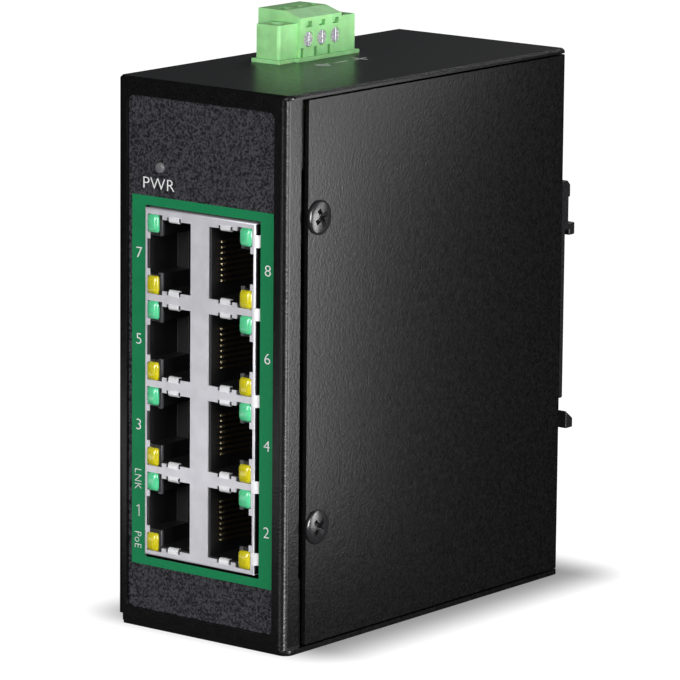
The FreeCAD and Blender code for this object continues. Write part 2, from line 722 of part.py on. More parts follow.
# ---- Main board and what it carries. ----

board_y = (front + dim.board_front, rear - dim.board_rear_gap)
board_z = (floor_face + dim.board_border, roof_under - dim.board_border)


def board_holes():
    """Centres of the four fixing holes, behind the jacks' front edge."""
    return [(y, z) for y in (board_y[0] + dim.board_hole_inset, board_y[1] - dim.board_hole_inset)
            for z in (board_z[0] + dim.board_hole_inset, board_z[1] - dim.board_hole_inset)]


def build_board():
    """The board with its fixing holes and the pins' slots, its standoffs and screws."""
    radius = dim.screw_radius + dim.running_clearance
    tools = [rod("board_hole", "x", y, z, (board_back - dim.gauge, board_face + dim.gauge), radius)
             for y, z in board_holes()]
    body = block("board", (board_back, board_face), board_y, board_z)
    node("main_board", cut("main_board", body, *tools, *[header_pin(y) for y in pole_places]))
    bore_span = (left + dim.gauge * 1.5, board_back + dim.gauge)
    post_span = (left + dim.gauge, board_back)
    standoffs = [cut("standoff", prism("post", 6, "x", y, z, post_span, dim.standoff_radius),
                     tapped("bore", "x", y, z, bore_span, radius))
                 for y, z in board_holes()]
    node("board_standoffs", group("board_standoffs", *standoffs))
    head = (dim.board_screw_head_radius, dim.board_screw_head_height)
    shank = dim.board_thickness + dim.standoff_height / 2
    screws = [screw("board_screw", "x", y, z, board_face, head, shank) for y, z in board_holes()]
    node("board_screws", group("board_screws", *screws))


def on_board(name, rise, y, z):
    """A part that stands on the board's face between two planes each way."""
    return block(name, (board_face, board_face + rise), y, z)


def build_heat_sink(sink_y, sink_z):
    """A finned sink on the switch chip; its fins stand in a row between its front and back edges."""
    low = board_face + dim.chip_rise
    high = low + dim.sink_base
    fins = int(dim.fin_count.number)
    step = (sink_y[1] - sink_y[0] - dim.fin_width) / (fins - 1)
    parts = [block("sink_base", (low, high), sink_y, sink_z)]
    for fin in range(fins):
        fin_low = sink_y[0] + step * fin
        parts.append(block("fin", (high, high + dim.fin_height), (fin_low, fin_low + dim.fin_width), sink_z))
    node("heat_sink", fuse("heat_sink", *parts))


def build_board_parts():
    """Magnetics behind each row of ports; behind them the chip, with coils below and capacitors above."""
    bay = jack_rear + dim.bay_gap
    rows = sorted({number_of(height): height for side, height in ports()}.items())
    magnetics_y = (bay, bay + dim.magnetics_depth)
    magnetics = [on_board("magnetics", dim.magnetics_rise, magnetics_y, around(height, dim.magnetics_length))
                 for number, height in rows]
    node("magnetics_modules", group("magnetics_modules", *magnetics))
    fuse_low = rows[-1][1] + dim.magnetics_length / 2 + dim.part_gap
    node("input_fuse", on_board("input_fuse", dim.fuse_size, (bay, bay + dim.fuse_length),
                                (fuse_low, fuse_low + dim.fuse_size)))
    chip_low = magnetics_y[1] + dim.part_gap
    chip_y = (chip_low, chip_low + dim.chip_size)
    chip_z = around(jack_centre, dim.chip_size)
    node("switch_chip", on_board("switch_chip", dim.chip_rise, chip_y, chip_z))
    sink_y = (chip_y[0] - dim.sink_border, chip_y[1] + dim.sink_border)
    sink_z = (chip_z[0] - dim.sink_border, chip_z[1] + dim.sink_border)
    build_heat_sink(sink_y, sink_z)
    controller_y = (chip_low, chip_low + dim.controller_size)
    coil_y = (controller_y[1] + dim.part_gap, controller_y[1] + dim.part_gap + dim.coil_size)
    controllers, coils, cans = [], [], []
    for place in range(2):
        top = sink_z[0] - dim.part_gap - (dim.controller_size + dim.part_gap) * place
        controllers.append(on_board("poe_controller", dim.controller_rise, controller_y,
                                    (top - dim.controller_size, top)))
        coils.append(on_board("inductor", dim.coil_rise, coil_y, (top - dim.coil_size, top)))
        can_y = chip_low + dim.can_radius + (dim.can_radius * 2 + dim.can_gap) * place
        cans.append(rod("capacitor", "x", can_y, sink_z[1] + dim.part_gap + dim.can_radius,
                        (board_face, board_face + dim.can_height), dim.can_radius))
    node("poe_controllers", group("poe_controllers", *controllers))
    node("power_inductors", group("power_inductors", *coils))
    node("electrolytic_capacitors", group("electrolytic_capacitors", *cans))
    crystal_low = sink_y[1] + dim.part_gap / 2
    crystal_y = (crystal_low, crystal_low + dim.crystal_depth)
    node("clock_crystal", on_board("clock_crystal", dim.crystal_rise, crystal_y,
                                   around(jack_centre, dim.crystal_length)))


# ---- Plug-in terminal block. ----

def chamber_z():
    """The two heights of the plug's clamp chambers."""
    low = rim_top + dim.chamber_low
    return low, low + dim.chamber_height


def clamp_axis():
    """Height of the clamp screws' centre lines."""
    return rim_top + dim.chamber_low + dim.chamber_height / 2


def tall_section():
    """The plug's tall middle in section: a flat roof that slants down to the screw face."""
    return [(plug_back, rim_top), (plug_face, rim_top), (plug_face, rim_top + dim.face_height),
            (plug_back + dim.roof_flat, rim_top + dim.roof_height), (plug_back, rim_top + dim.roof_height)]


def pole_tools(place_y):
    """Everything hollow in one pole: wire entry, clamp chamber, screw bore and pin socket."""
    wide = around(place_y, dim.chamber_width)
    low, high = chamber_z()
    pin_right = bar + dim.bar_gauge + dim.running_clearance * 2 + dim.pin_size
    window_z = rim_top + dim.face_height - dim.face_window_drop
    beyond = plug_face + dim.gauge
    return [
        block("chamber", (cage_x[0] - dim.fit_clearance, chamber_right), wide, (low, high)),
        block("wire_entry", (cage_x[0] + dim.cage_wall, bar), wide,
              (high - dim.fit_clearance, rim_top + dim.roof_height + dim.gauge)),
        rod("screw_bore", "x", place_y, clamp_axis(), (chamber_right - dim.fit_clearance, beyond),
            dim.clamp_head_radius + dim.running_clearance),
        block("pin_socket", (bar, pin_right), around(place_y, dim.bar_width),
              (socket_floor, low + dim.fit_clearance)),
        block("face_window", (plug_face - dim.gauge, beyond), around(place_y, dim.face_window_width),
              around(window_z, dim.face_window_height)),
        block("face_slot", (plug_face - dim.face_slot_depth, beyond),
              around(place_y - dim.pole_pitch / 2, dim.face_slot_width),
              (rim_top - dim.gauge, rim_top + dim.face_slot_height)),
    ]


def build_plug():
    """The plug: a low flange at each end, the tall clamp section and the tongue in the header's socket."""
    tall = padded("plug_tall", "XZ", tall_y, tall_section())
    near = padded("plug_near", "XY", (rim_top, rim_top + dim.near_flange_height),
                  rectangle(flange_x, (plug_front, tall_y[0])))
    rounded(near, "flange_corner", dim.bend_radius / 2, upright(flange_x[1], plug_front))
    far = block("plug_far", (flange_x[0], plug_face), far_y, (rim_top, rim_top + dim.far_height))
    tongue = block("tongue", (socket_x[0] + dim.fit_clearance, socket_x[1] - dim.fit_clearance),
                   (socket_y[0] + dim.fit_clearance, socket_y[1] - dim.fit_clearance),
                   (socket_floor + dim.fit_clearance, rim_top + dim.gauge))
    tools = []
    for place_y in pole_places:
        tools += pole_tools(place_y)
    for place_y, height in zip(flange_places, (dim.near_flange_height, dim.far_height)):
        seat = rim_top + height - dim.flange_head_sink - dim.flange_head_length
        tools.append(rod("flange_seat", "z", flange_middle, place_y, (seat, rim_top + height + dim.gauge),
                         dim.flange_head_radius + dim.running_clearance))
        tools.append(rod("flange_hole", "z", flange_middle, place_y, (rim_top - dim.gauge, seat + dim.gauge),
                         dim.clamp_screw_radius + dim.running_clearance))
    node("plug_housing", cut("plug_housing", fuse("plug_body", tall, near, far, tongue), *tools))


def slotted_screw(name, axis, across, up, head_face, head, shank_length, slot_span):
    """A screw with a straight slot across its head; the head faces up its axis."""
    head_radius, head_length = head
    seat = head_face - head_length
    body = fuse(name, rod(f"{name}_head", axis, across, up, (seat, head_face), head_radius),
                prism(f"{name}_shank", THREAD_SIDES, axis, across, up, (seat - shank_length, seat),
                      dim.clamp_screw_radius))
    slot_floor = (head_face - dim.clamp_slot, head_face + dim.gauge)
    if axis == "x":
        slot = block("slot", slot_floor, around(across, dim.clamp_slot), slot_span)
    else:
        slot = block("slot", around(across, dim.clamp_slot), slot_span, slot_floor)
    return cut(name, body, slot)


def build_clamps():
    """Each pole's clamp screw, the cage that it draws along, and the contact bar through the cage."""
    bars = []
    low, high = chamber_z()
    bar_face = bar + dim.bar_gauge
    head = (dim.clamp_head_radius, dim.clamp_head_length)
    shank = clamp_head_back - (bar_face + dim.fit_clearance)
    thread_span = (bar_face - dim.cage_travel, cage_x[1] + dim.gauge)
    for pole, place_y in enumerate(pole_places, start=1):
        slot_span = around(clamp_axis(), dim.clamp_head_radius * 3)
        node(f"clamp_screw_{pole}", slotted_screw("clamp_screw", "x", place_y, clamp_axis(), clamp_head_face,
                                                  head, shank, slot_span))
        cage = block("cage", cage_x, around(place_y, dim.chamber_width - dim.running_clearance * 2),
                     (low + dim.fit_clearance, high - dim.fit_clearance))
        window = block("cage_window", (cage_x[0] + dim.cage_wall, cage_x[1] - dim.cage_wall),
                       around(place_y, dim.cage_window), (low - dim.gauge, high + dim.gauge))
        thread = tapped("cage_thread", "x", place_y, clamp_axis(), thread_span,
                        dim.clamp_screw_radius + dim.running_clearance)
        node(f"clamp_cage_{pole}", cut("clamp_cage", cage, window, thread))
        bars.append(block("bar", (bar, bar_face), around(place_y, dim.bar_width),
                          (socket_floor + dim.header_floor / 2, high)))
    node("plug_contacts", group("plug_contacts", *bars))


def build_flange_screws():
    """The two screws that lock the plug to the header's end lugs."""
    heights = (dim.near_flange_height, dim.far_height)
    for name, place_y, height in zip(("flange_screw_near", "flange_screw_far"), flange_places, heights):
        head_face = rim_top + height - dim.flange_head_sink
        shank = head_face - dim.flange_head_length - (rim_top - dim.flange_screw_length / 2)
        node(name, slotted_screw(name, "z", flange_middle, place_y, head_face,
                                 (dim.flange_head_radius, dim.flange_head_length), shank,
                                 around(place_y, dim.flange_head_radius * 3)))


# ---- Rail clip on the back: a base with the fixed hook, and a sprung latch that slides in it. ----

hook_ceiling = dim.hook_height
slot_face = back_face + dim.rail_stand_off
slot_back = slot_face + dim.rail_slot
hook_face = slot_back + dim.hook_lip
catch_face = slot_back + dim.catch_lip
channel_x = around(clip_middle, dim.channel_width)
channel_y = (back_face + dim.channel_sink, back_face + dim.channel_sink + dim.channel_depth)
catch_low = hook_ceiling - dim.rail_height + dim.latch_preload
clip_low = catch_low + dim.shoulder_height
ledge_z = (clip_low + dim.spring_ledge_rise, clip_low + dim.spring_ledge_rise + dim.spring_ledge)
spring_z = (ledge_z[1], ledge_z[1] + dim.spring_length)
slide_top = spring_z[1] + dim.catch_link
spring_y = (channel_y[0] + channel_y[1]) / 2


def clip_section():
    """The clip base in section: bearing face, rail slot under the hook, neck and chamfered head."""
    neck = back_face + dim.neck_reach
    head = back_face + dim.head_reach
    hook_top = hook_ceiling + dim.hook_root
    neck_top = hook_top + dim.neck_height
    head_top = neck_top + dim.head_height
    return [
        (back_face, clip_low), (slot_face, clip_low), (slot_face, hook_ceiling),
        (slot_back, hook_ceiling), (slot_back, hook_ceiling - dim.hook_drop),
        (hook_face, hook_ceiling - dim.hook_drop), (hook_face, hook_top), (neck, hook_top),
        (neck, neck_top), (head, neck_top), (head, head_top - dim.head_chamfer),
        (head - dim.head_chamfer, head_top), (back_face, head_top),
    ]


def build_clip_base():
    """The clip base with the latch's channel, the spring's ledge in it and two sunk screw holes."""
    body = padded("clip", "YZ", clip_x, clip_section())
    channel = block("channel", channel_x, channel_y, (clip_low - dim.gauge, slide_top + dim.channel_end_gap))
    ledge_x = around(clip_middle, dim.spring_window - dim.latch_clearance * 2)
    ledge = block("ledge", ledge_x, channel_y, ledge_z)
    sink = back_face + dim.rail_stand_off - dim.clip_screw_sink
    tools = [cut("channel_tool", channel, ledge)]
    through = (back_face - dim.gauge, slot_face + dim.gauge)
    for x in clip_screw_places:
        tools.append(rod("clip_hole", "y", x, clip_screw_height, through,
                         dim.screw_radius + dim.hole_clearance))
        tools.append(rod("clip_sink", "y", x, clip_screw_height, (sink, slot_face + dim.gauge),
                         dim.screw_head_radius + dim.hole_clearance))
    node("din_clip_base", cut("din_clip_base", body, *tools))


def build_clip_latch():
    """The sliding latch: a plate in the channel, a link under the rail's edge, the catch and a pull tab."""
    gap = dim.latch_clearance
    slide_y = (channel_y[0] + gap, channel_y[1] - gap)
    slide = block("slide", (channel_x[0] + gap, channel_x[1] - gap), slide_y, (dim.latch_low, slide_top))
    link_x = around(clip_middle, dim.latch_link_width)
    link_z = (catch_low - dim.catch_link, catch_low)
    link = block("link", link_x, (slide_y[0], catch_face), link_z)
    shoulder = block("shoulder", link_x, (slide_y[0], slot_face - gap), (link_z[0], clip_low - gap / 2))
    catch = padded("catch", "YZ", clip_x, [
        (slot_back, catch_low), (catch_face, catch_low),
        (catch_face, catch_low + dim.catch_rise - dim.catch_ramp),
        (slot_back, catch_low + dim.catch_rise)])
    window = block("spring_window", around(clip_middle, dim.spring_window), channel_y,
                   (ledge_z[0] - gap, spring_z[1]))
    slot_low = dim.latch_low + dim.catch_link
    tool_slot = block("tool_slot", around(clip_middle, dim.tool_slot_width), channel_y,
                      (slot_low, slot_low + dim.tool_slot_height))
    body = fuse("latch_body", slide, link, shoulder, catch)
    node("din_clip_latch", cut("din_clip_latch", body, window, tool_slot))


def build_latch_spring():
    """The coil spring from the base's ledge to the top of the latch's window: square wire in short steps."""
    radius = dim.spring_radius.number
    wire = dim.spring_wire.number / 2
    pitch = (dim.spring_length.number - wire * 2) / dim.spring_turns.number
    section = [(radius - wire, -wire), (radius + wire, -wire), (radius + wire, wire), (radius - wire, wire)]
    rings = []
    for step in range(int(dim.spring_turns.number * COIL_STEPS) + 1):
        turn = step / COIL_STEPS
        angle = math.tau * turn
        rings.append([Vector(reach * math.cos(angle), reach * math.sin(angle), pitch * turn + rise)
                      for reach, rise in section])
    facets = [rings[0], rings[-1]]
    for near, far in zip(rings, rings[1:]):
        for corner in range(4):
            after = (corner + 1) % 4
            facets += [(near[corner], near[after], far[after]), (near[corner], far[after], far[corner])]
    faces = [Part.Face(Part.makePolygon([*corners, corners[0]])) for corners in facets]
    spring = doc.addObject("Part::Feature", "spring")
    spring.Shape = Part.makeSolid(Part.makeShell(faces))
    place(spring, clip_middle, spring_y, spring_z[0] + dim.spring_wire / 2)
    node("latch_spring", spring)


def build_clip_screws():
    """The two screws of the clip and the press-in nuts inside the cover's back."""
    head = (dim.screw_head_radius, dim.screw_head_height * 2)
    seat = back_face + dim.rail_stand_off - dim.clip_screw_sink
    length = seat - rear + dim.nut_length
    nut_span = (rear - dim.nut_length, rear)
    screws = [screw("clip_screw", "y", x, clip_screw_height, seat, head, length) for x in clip_screw_places]
    nuts = [nut("clip_nut", "y", x, clip_screw_height, nut_span) for x in clip_screw_places]
    node("clip_screws", group("clip_screws", *screws))
    node("clip_nuts", group("clip_nuts", *nuts))


node("main_shell", build_main_shell())
build_side_cover()
build_cover_screws()
build_label()
build_power_light()
build_jack_shield()
build_jack_body()
build_contacts()
build_lenses()
build_board()
build_board_parts()
build_header()
build_plug()
build_clamps()
build_flange_screws()
build_clip_base()
build_clip_latch()
build_latch_spring()
build_clip_screws()
doc.recompute()

failed = [item.Name for item in doc.Objects if "Invalid" in item.State or "Error" in item.State]
if failed:
    raise RuntimeError(f"these objects failed: {failed}")
os.makedirs("parts", exist_ok=True)
for name, solid in nodes.items():
    shape = solid.Shape
    if shape.isNull() or not shape.isValid() or not shape.Solids:
        raise RuntimeError(f"{name} has no valid solid")
    shape.exportStep(f"parts/{name}.step")
print(len(nodes), "sub-parts")
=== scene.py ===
import math

import bmesh
import bpy
from mathutils import Matrix, Quaternion, Vector


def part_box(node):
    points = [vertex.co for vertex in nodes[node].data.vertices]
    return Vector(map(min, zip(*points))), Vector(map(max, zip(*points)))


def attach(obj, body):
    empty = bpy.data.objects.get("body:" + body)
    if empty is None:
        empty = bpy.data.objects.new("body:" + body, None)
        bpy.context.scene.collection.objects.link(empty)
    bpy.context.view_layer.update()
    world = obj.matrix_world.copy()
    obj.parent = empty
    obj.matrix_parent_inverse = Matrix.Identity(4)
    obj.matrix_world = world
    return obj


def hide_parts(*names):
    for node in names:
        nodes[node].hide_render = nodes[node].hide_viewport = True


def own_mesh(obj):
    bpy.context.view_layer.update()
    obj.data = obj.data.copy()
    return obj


# Looks of an eight-port Ethernet switch for a DIN rail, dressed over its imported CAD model.
# Sizes named here are in millimetres and are turned into metres by MM; places come from the frame.

MM = 0.001

# How print lies: its step off the surface, its thickness and which way it reads.
PRINT_GAP = 0.02
PRINT_THICK = 0.01
FACING_FRONT = Matrix.Rotation(math.radians(90), 4, "X")
READING_DOWN = FACING_FRONT @ Matrix.Rotation(math.radians(-90), 4, "Z")

# The front print: the green field's margins in the label, and the places and sizes of its marks.
FIELD_LEFT_MARGIN = 0.75
FIELD_BOTTOM_MARGIN = 7.4
FIELD_TOP_MARGIN = 16.1
WINDOW_MARGIN = (0.0, 0.95, 0.4)
COLUMN_INSET = 4.2
COLUMN_RISE = (-0.2, 0.0)
NUMBER_SIZE = 2.6
WORD_SIZE = 2.1
WORD_STRETCH = 0.86
POWER_SIZE = 2.75
LETTER_STRETCH = 1.12
LETTER_SPACING = 1.05
LETTER_THINNING = -0.03
WORD_INSET = 0.2
LINK_RISE = 4.9
SUPPLY_DROP = 5.2
POWER_DROP = 1.9
POWER_SHIFT = -0.35
DIGIT_ONE = [[(-0.35, 0.6), (0.1, 0.92), (0.1, -0.92)]]
DIGIT_STROKE = 0.15

# Marks on the roof, beside the poles of the terminal block.
POLE_MARKS = {
    "mark_earth": [[(0, 1.0), (0, 0.1)], [(-0.9, 0.1), (0.9, 0.1)], [(-0.55, -0.35), (0.55, -0.35)],
                   [(-0.2, -0.8), (0.2, -0.8)]],
    "mark_minus": [[(-0.9, 0), (0.9, 0)]],
    "mark_plus": [[(-0.9, 0), (0.9, 0)], [(0, -0.9), (0, 0.9)]],
}
MARK_FIRST = 4.0
MARK_PITCH = 4.9
MARK_GAP = 5.2
MARK_SCALE = 1.6
MARK_STROKE = 0.3

# The ganged jacks. "Out" is the distance from the shield's middle, "up" the one from a port's centre,
# and depths are measured from the shield's face.
ROWS = 4
PORT_PITCH = 14.1
PORT_RISE = -0.065
JACK_WIDTH = 22.9
JACK_SHIFT = -0.25

# The shield: its rolled rim, its plate, and the cut-outs of its face.
RIM = 0.3
PLATE = 0.25
WEB_HALF = 1.83
PORT_HALF = 5.8
NOTCH_HALF = 6.3
NOTCH_WIDTH = 0.45
TOOTH_OUTER = 10.45
SLOT_OUTER = 11.1
SLOT_HALF = 2.45

# The fingers bent into the ports, and the grounding springs at the shield's right.
BEND_STEPS = 6
SPRING_GAUGE = 0.2
FINGER_OFFSET = 5.35
FINGER_HALF = 1.0
FINGER_FIT = 0.97
FINGER_RISE = 0.02
FINGER_START = 0.1
FINGER_ROOT = 0.5
FINGER_BEND = 0.4
FINGER_END = (0.5, 0.1)
GROUND_SPOTS = (-25.7, -13.97, 0.0, 13.97, 25.7)
GROUND_HALF = 1.0
GROUND_INSET = 0.25
GROUND_RADII = (1.3, 1.15)

# The lenses: the inner edge differs from left to right. The last three values shape the dome.
LENS_INNER = 7.75
LENS_INSIDE = (8.55, 8.35)
LENS_OUTER = 10.83
LENS_LOW = 3.5
LENS_TOP = 6.5
LENS_REST = 0.18
LENS_LENGTH = 3.0
LENS_STEPS = 14
LENS_BULGE = 0.7
LENS_CROWN = (2.6, 3.2)
LENS_PINCH = (0.16, 0.06)

# The moulded walls beside the lenses and along the web.
WALL_OUT = (8.15, 8.95)
WALL_UP = (3.0, 6.1)
WALL_DEPTHS = (0.45, 1.0)
WEB_EDGE_OUT = (1.23, 1.85)
WEB_EDGE_DEPTHS = (0.3, 1.25)
WALL_ROUNDING = 0.1

# The contacts: points are (out, depth) from the tip.
CONTACTS = 8
CONTACT_PITCH = 0.90
CONTACT_OUT = 2.55
CONTACT_DEPTH = 2.45
WIRE_HALF = 0.17
WIRE_GAUGE = 0.3
WIRE_PATH = ((0.0, 0.0), (0.5, 3.2), (1.6, 9.5))
TIP_HALF = 0.14
TIP_RADIUS = 0.16
TIP_SHIFT = 0.02
TIP_ROOT = (-0.35, 0.55)
TIP_END = (0.3, 0.6)

# The screws: heads, the turn of each cross recess in degrees, and shares of the head's height and of
# the recess's length.
SCREW_RADIUS = 2.8
THREAD_RADIUS = 1.5
SIDE_HEAD = 0.7
SIDE_TURNS = (45, 28)
CLIP_HEAD = 1.4
CLIP_TURNS = (12, 61)
HEAD_EDGE = 0.35
HEAD_SIDE = 0.3
LATHE_STEPS = 48
RECESS = 3.5
RECESS_START = 1.1
RECESS_WIDTH = 0.26
RECESS_FLOOR = (0.42, 0.7)

# The latch spring: its free height is the CAD coil's.
SPRING_WIRE = 0.45
SPRING_TURNS = 7
SPRING_STEPS = 28
SPRING_SIDES = 10

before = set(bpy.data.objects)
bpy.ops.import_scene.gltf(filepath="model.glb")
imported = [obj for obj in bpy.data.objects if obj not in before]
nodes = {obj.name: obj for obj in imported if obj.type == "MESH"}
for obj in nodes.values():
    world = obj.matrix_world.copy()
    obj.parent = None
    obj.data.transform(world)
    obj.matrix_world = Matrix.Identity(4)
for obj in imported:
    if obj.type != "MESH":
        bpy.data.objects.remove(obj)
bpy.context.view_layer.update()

shell_low, shell_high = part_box("main_shell")
label_low, label_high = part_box("front_label")
shield_low, shield_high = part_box("jack_shield")
housing_low, housing_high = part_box("jack_housing")
middle_x = (housing_low.x + housing_high.x) / 2 + JACK_SHIFT * MM
shield_middle = (shield_low.z + shield_high.z) / 2


# ---- Materials ----

class Finish:
    """A material in the making: a principled surface and the nodes that vary it."""

    def __init__(self, name, colour, roughness, metallic=0.0, **sockets):
        self.material = bpy.data.materials.new(name)
        self.material.use_nodes = True
        self.tree = self.material.node_tree
        self.surface = self.tree.nodes["Principled BSDF"]
        self.surface.inputs["Base Color"].default_value = (*colour, 1.0)
        self.surface.inputs["Roughness"].default_value = roughness
        self.surface.inputs["Metallic"].default_value = metallic
        for socket, value in sockets.items():
            self.surface.inputs[socket.replace("_", " ")].default_value = value
        self.place = self.node("ShaderNodeTexCoord").outputs["Object"]
        self.normal = None

    def node(self, kind):
        return self.tree.nodes.new(kind)

    def link(self, start, end):
        self.tree.links.new(start, end)

    def stretched(self, scale):
        """The place, scaled apart along each axis."""
        mapping = self.node("ShaderNodeMapping")
        mapping.inputs["Scale"].default_value = scale
        self.link(self.place, mapping.inputs["Vector"])
        return mapping.outputs["Vector"]

    def noise(self, grain, detail=2.0, place=None):
        """Noise whose grains are about this many millimetres across."""
        made = self.node("ShaderNodeTexNoise")
        made.inputs["Scale"].default_value = 1 / (grain * MM)
        made.inputs["Detail"].default_value = detail
        self.link(place or self.place, made.inputs["Vector"])
        return made.outputs["Fac"]

    def spread(self, factor, low, high, between=(0.3, 0.7)):
        """A number that goes from low to high as the factor crosses the given range."""
        made = self.node("ShaderNodeMapRange")
        made.inputs["From Min"].default_value = between[0]
        made.inputs["From Max"].default_value = between[1]
        made.inputs["To Min"].default_value = low
        made.inputs["To Max"].default_value = high
        self.link(factor, made.inputs["Value"])
        return made.outputs["Result"]

    def tint(self, factor, dark, light, between=(0.3, 0.7)):
        """Base colour from dark to light by a factor."""
        ramp = self.node("ShaderNodeValToRGB")
        for element, place, colour in zip(ramp.color_ramp.elements, between, (dark, light)):
            element.position = place
            element.color = (*colour, 1.0)
        self.link(factor, ramp.inputs["Fac"])
        self.link(ramp.outputs["Color"], self.surface.inputs["Base Color"])
        return self

    def rough(self, factor, low, high):
        """Roughness from low to high by a factor."""
        self.link(self.spread(factor, low, high), self.surface.inputs["Roughness"])
        return self

    def bump(self, factor, height):
        """Relief of this height in millimetres, on top of any relief so far."""
        made = self.node("ShaderNodeBump")
        made.inputs["Distance"].default_value = height * MM
        self.link(factor, made.inputs["Height"])
        if self.normal:
            self.link(self.normal, made.inputs["Normal"])
        self.normal = made.outputs["Normal"]
        self.link(self.normal, self.surface.inputs["Normal"])
        return self


def powder_coat(name, dark, light, roughness):
    """Black powder coat: a fine sandy relief with faint lighter grains."""
    finish = Finish(name, dark, roughness, Specular_IOR_Level=0.36)
    fine = finish.noise(0.42, 1.5)
    coarse = finish.noise(1.1, 2.0)
    finish.tint(fine, dark, light, (0.35, 0.75))
    finish.rough(coarse, roughness - 0.02, roughness + 0.03)
    finish.bump(fine, 0.034).bump(coarse, 0.010)
    return finish.material


def overlay_print(name, dark, light, roughness, mottle):
    """A printed overlay with a grained matt surface; mottle is how far its tone varies."""
    finish = Finish(name, dark, roughness, Specular_IOR_Level=0.3)
    grain = finish.noise(0.34, 2.5)
    finish.tint(grain, dark, light, (0.5 - mottle, 0.5 + mottle))
    finish.rough(finish.noise(0.8), roughness - 0.05, roughness + 0.08)
    finish.bump(grain, 0.012)
    return finish.material


def plated(name, colour, roughness, grain, metallic=1.0):
    """Satin plated metal with faint cloudy patches; a dull coat scatters more and is less metallic."""
    finish = Finish(name, colour, roughness, metallic)
    cloud = finish.noise(grain * 6)
    darker = tuple(c * 0.88 for c in colour)
    finish.tint(cloud, darker, colour)
    finish.rough(finish.noise(grain), roughness - 0.05, roughness + 0.07)
    finish.bump(finish.noise(grain), 0.002)
    return finish.material


def brushed(name, colour, roughness, scale):
    """Drawn or machined metal with fine lines along the least scaled axis."""
    finish = Finish(name, colour, roughness, 1.0)
    lines = finish.noise(0.25, 2.0, finish.stretched(scale))
    finish.tint(lines, tuple(c * 0.8 for c in colour), colour)
    finish.rough(lines, roughness - 0.06, roughness + 0.08)
    finish.bump(lines, 0.002)
    return finish.material


def moulded(name, colour, roughness, **sockets):
    """Moulded plastic: a faint erosion texture and slight variation of tone."""
    finish = Finish(name, colour, roughness, **sockets)
    cloud = finish.noise(2.5)
    lighter = tuple(min(1.0, c * 1.12 + 0.002) for c in colour)
    finish.tint(cloud, tuple(c * 0.9 for c in colour), lighter)
    finish.rough(finish.noise(0.6), roughness - 0.05, roughness + 0.06)
    finish.bump(finish.noise(0.18), 0.004)
    return finish.material


def lens_plastic(name, colour, painted_glow):
    """Translucent indicator lens; its emission is a faint painted glow in its own colour."""
    # The emission paints a faint glow in the lens's own colour.
    finish = Finish(name, colour, 0.18, Subsurface_Weight=0.6, Subsurface_Scale=0.0008,
                    Subsurface_Radius=colour, Coat_Weight=0.6, Coat_Roughness=0.08,
                    Emission_Color=(*colour, 1.0), Emission_Strength=painted_glow)
    finish.tint(finish.noise(0.9), tuple(c * 0.85 for c in colour), colour)
    finish.rough(finish.noise(0.3), 0.14, 0.24)
    return finish.material


def laminate():
    """Solder-masked board: deep green with faint woven glass under it."""
    finish = Finish("board_laminate", (0.01, 0.13, 0.05), 0.3, Coat_Weight=0.4)
    weave = finish.noise(0.4, 1.0, finish.stretched((1.0, 1.0, 3.0)))
    finish.tint(weave, (0.008, 0.11, 0.04), (0.014, 0.17, 0.07))
    finish.bump(weave, 0.004)
    return finish.material


STEEL = powder_coat("black_powder_coat", (0.0006, 0.0006, 0.0008), (0.0040, 0.0040, 0.0044), 0.31)
CLIP_BLACK = powder_coat("clip_black", (0.004, 0.004, 0.0045), (0.010, 0.010, 0.011), 0.40)
SCREW_BLACK = plated("black_oxide", (0.012, 0.012, 0.013), 0.22, 0.3, metallic=0.1)
OVERLAY = overlay_print("overlay_grey", (0.000, 0.000, 0.002), (0.038, 0.038, 0.045), 0.55, 0.10)
FIELD_GREEN = overlay_print("overlay_green", (0.000, 0.140, 0.047), (0.000, 0.170, 0.057), 0.55, 0.3)
PRINT_WHITE = overlay_print("print_white", (0.55, 0.55, 0.55), (0.70, 0.70, 0.70), 0.5, 0.3)
SHIELD = plated("satin_nickel", (0.70, 0.69, 0.735), 0.42, 0.5, metallic=0.5)
# A lighter copy of the shield's nickel for the fingers and grounding springs: a painted highlight on their
# bends.
SHIELD_PAINTED_HIGHLIGHT = plated("nickel_painted_highlight", (0.86, 0.86, 0.88), 0.34, 0.5, metallic=0.4)
# A lighter grey copy of the jack's black plastic for the housing's front walls: painted light on their edges.
PAINTED_LIGHT_WALL_PLASTIC = moulded("jack_black_painted_light", (0.055, 0.056, 0.062), 0.4)
# A dark copy of the contacts' gold for the wires deep in the ports: painted shade.
PAINTED_SHADE_GOLD = plated("gold_painted_shade", (0.16, 0.12, 0.07), 0.4, 0.2)
JACK_PLASTIC = moulded("jack_black", (0.006, 0.006, 0.0065), 0.42)
GOLD = plated("gold_plate", (1.0, 0.84, 0.50), 0.25, 0.2)
# The green and yellow lenses carry a faint painted glow in their own colours; the light pipe has none.
GREEN_LENS = lens_plastic("green_lens", (0.09, 0.50, 0.25), 0.02)
YELLOW_LENS = lens_plastic("yellow_lens", (0.50, 0.44, 0.012), 0.02)
PIPE_PLASTIC = lens_plastic("light_pipe", (0.13, 0.13, 0.135), 0.0)
BOARD = laminate()
ZINC = brushed("zinc_plate", (0.60, 0.61, 0.63), 0.32, (1.0, 1.0, 0.2))
EPOXY = moulded("chip_epoxy", (0.018, 0.018, 0.019), 0.5)
SINK = brushed("bare_aluminium", (0.72, 0.73, 0.74), 0.30, (1.0, 1.0, 0.1))
CAN = brushed("capacitor_can", (0.55, 0.57, 0.62), 0.28, (0.2, 1.0, 1.0))
CERAMIC = moulded("fuse_ceramic", (0.72, 0.70, 0.64), 0.55)
LAMP = moulded("lamp_body", (0.80, 0.81, 0.78), 0.3)
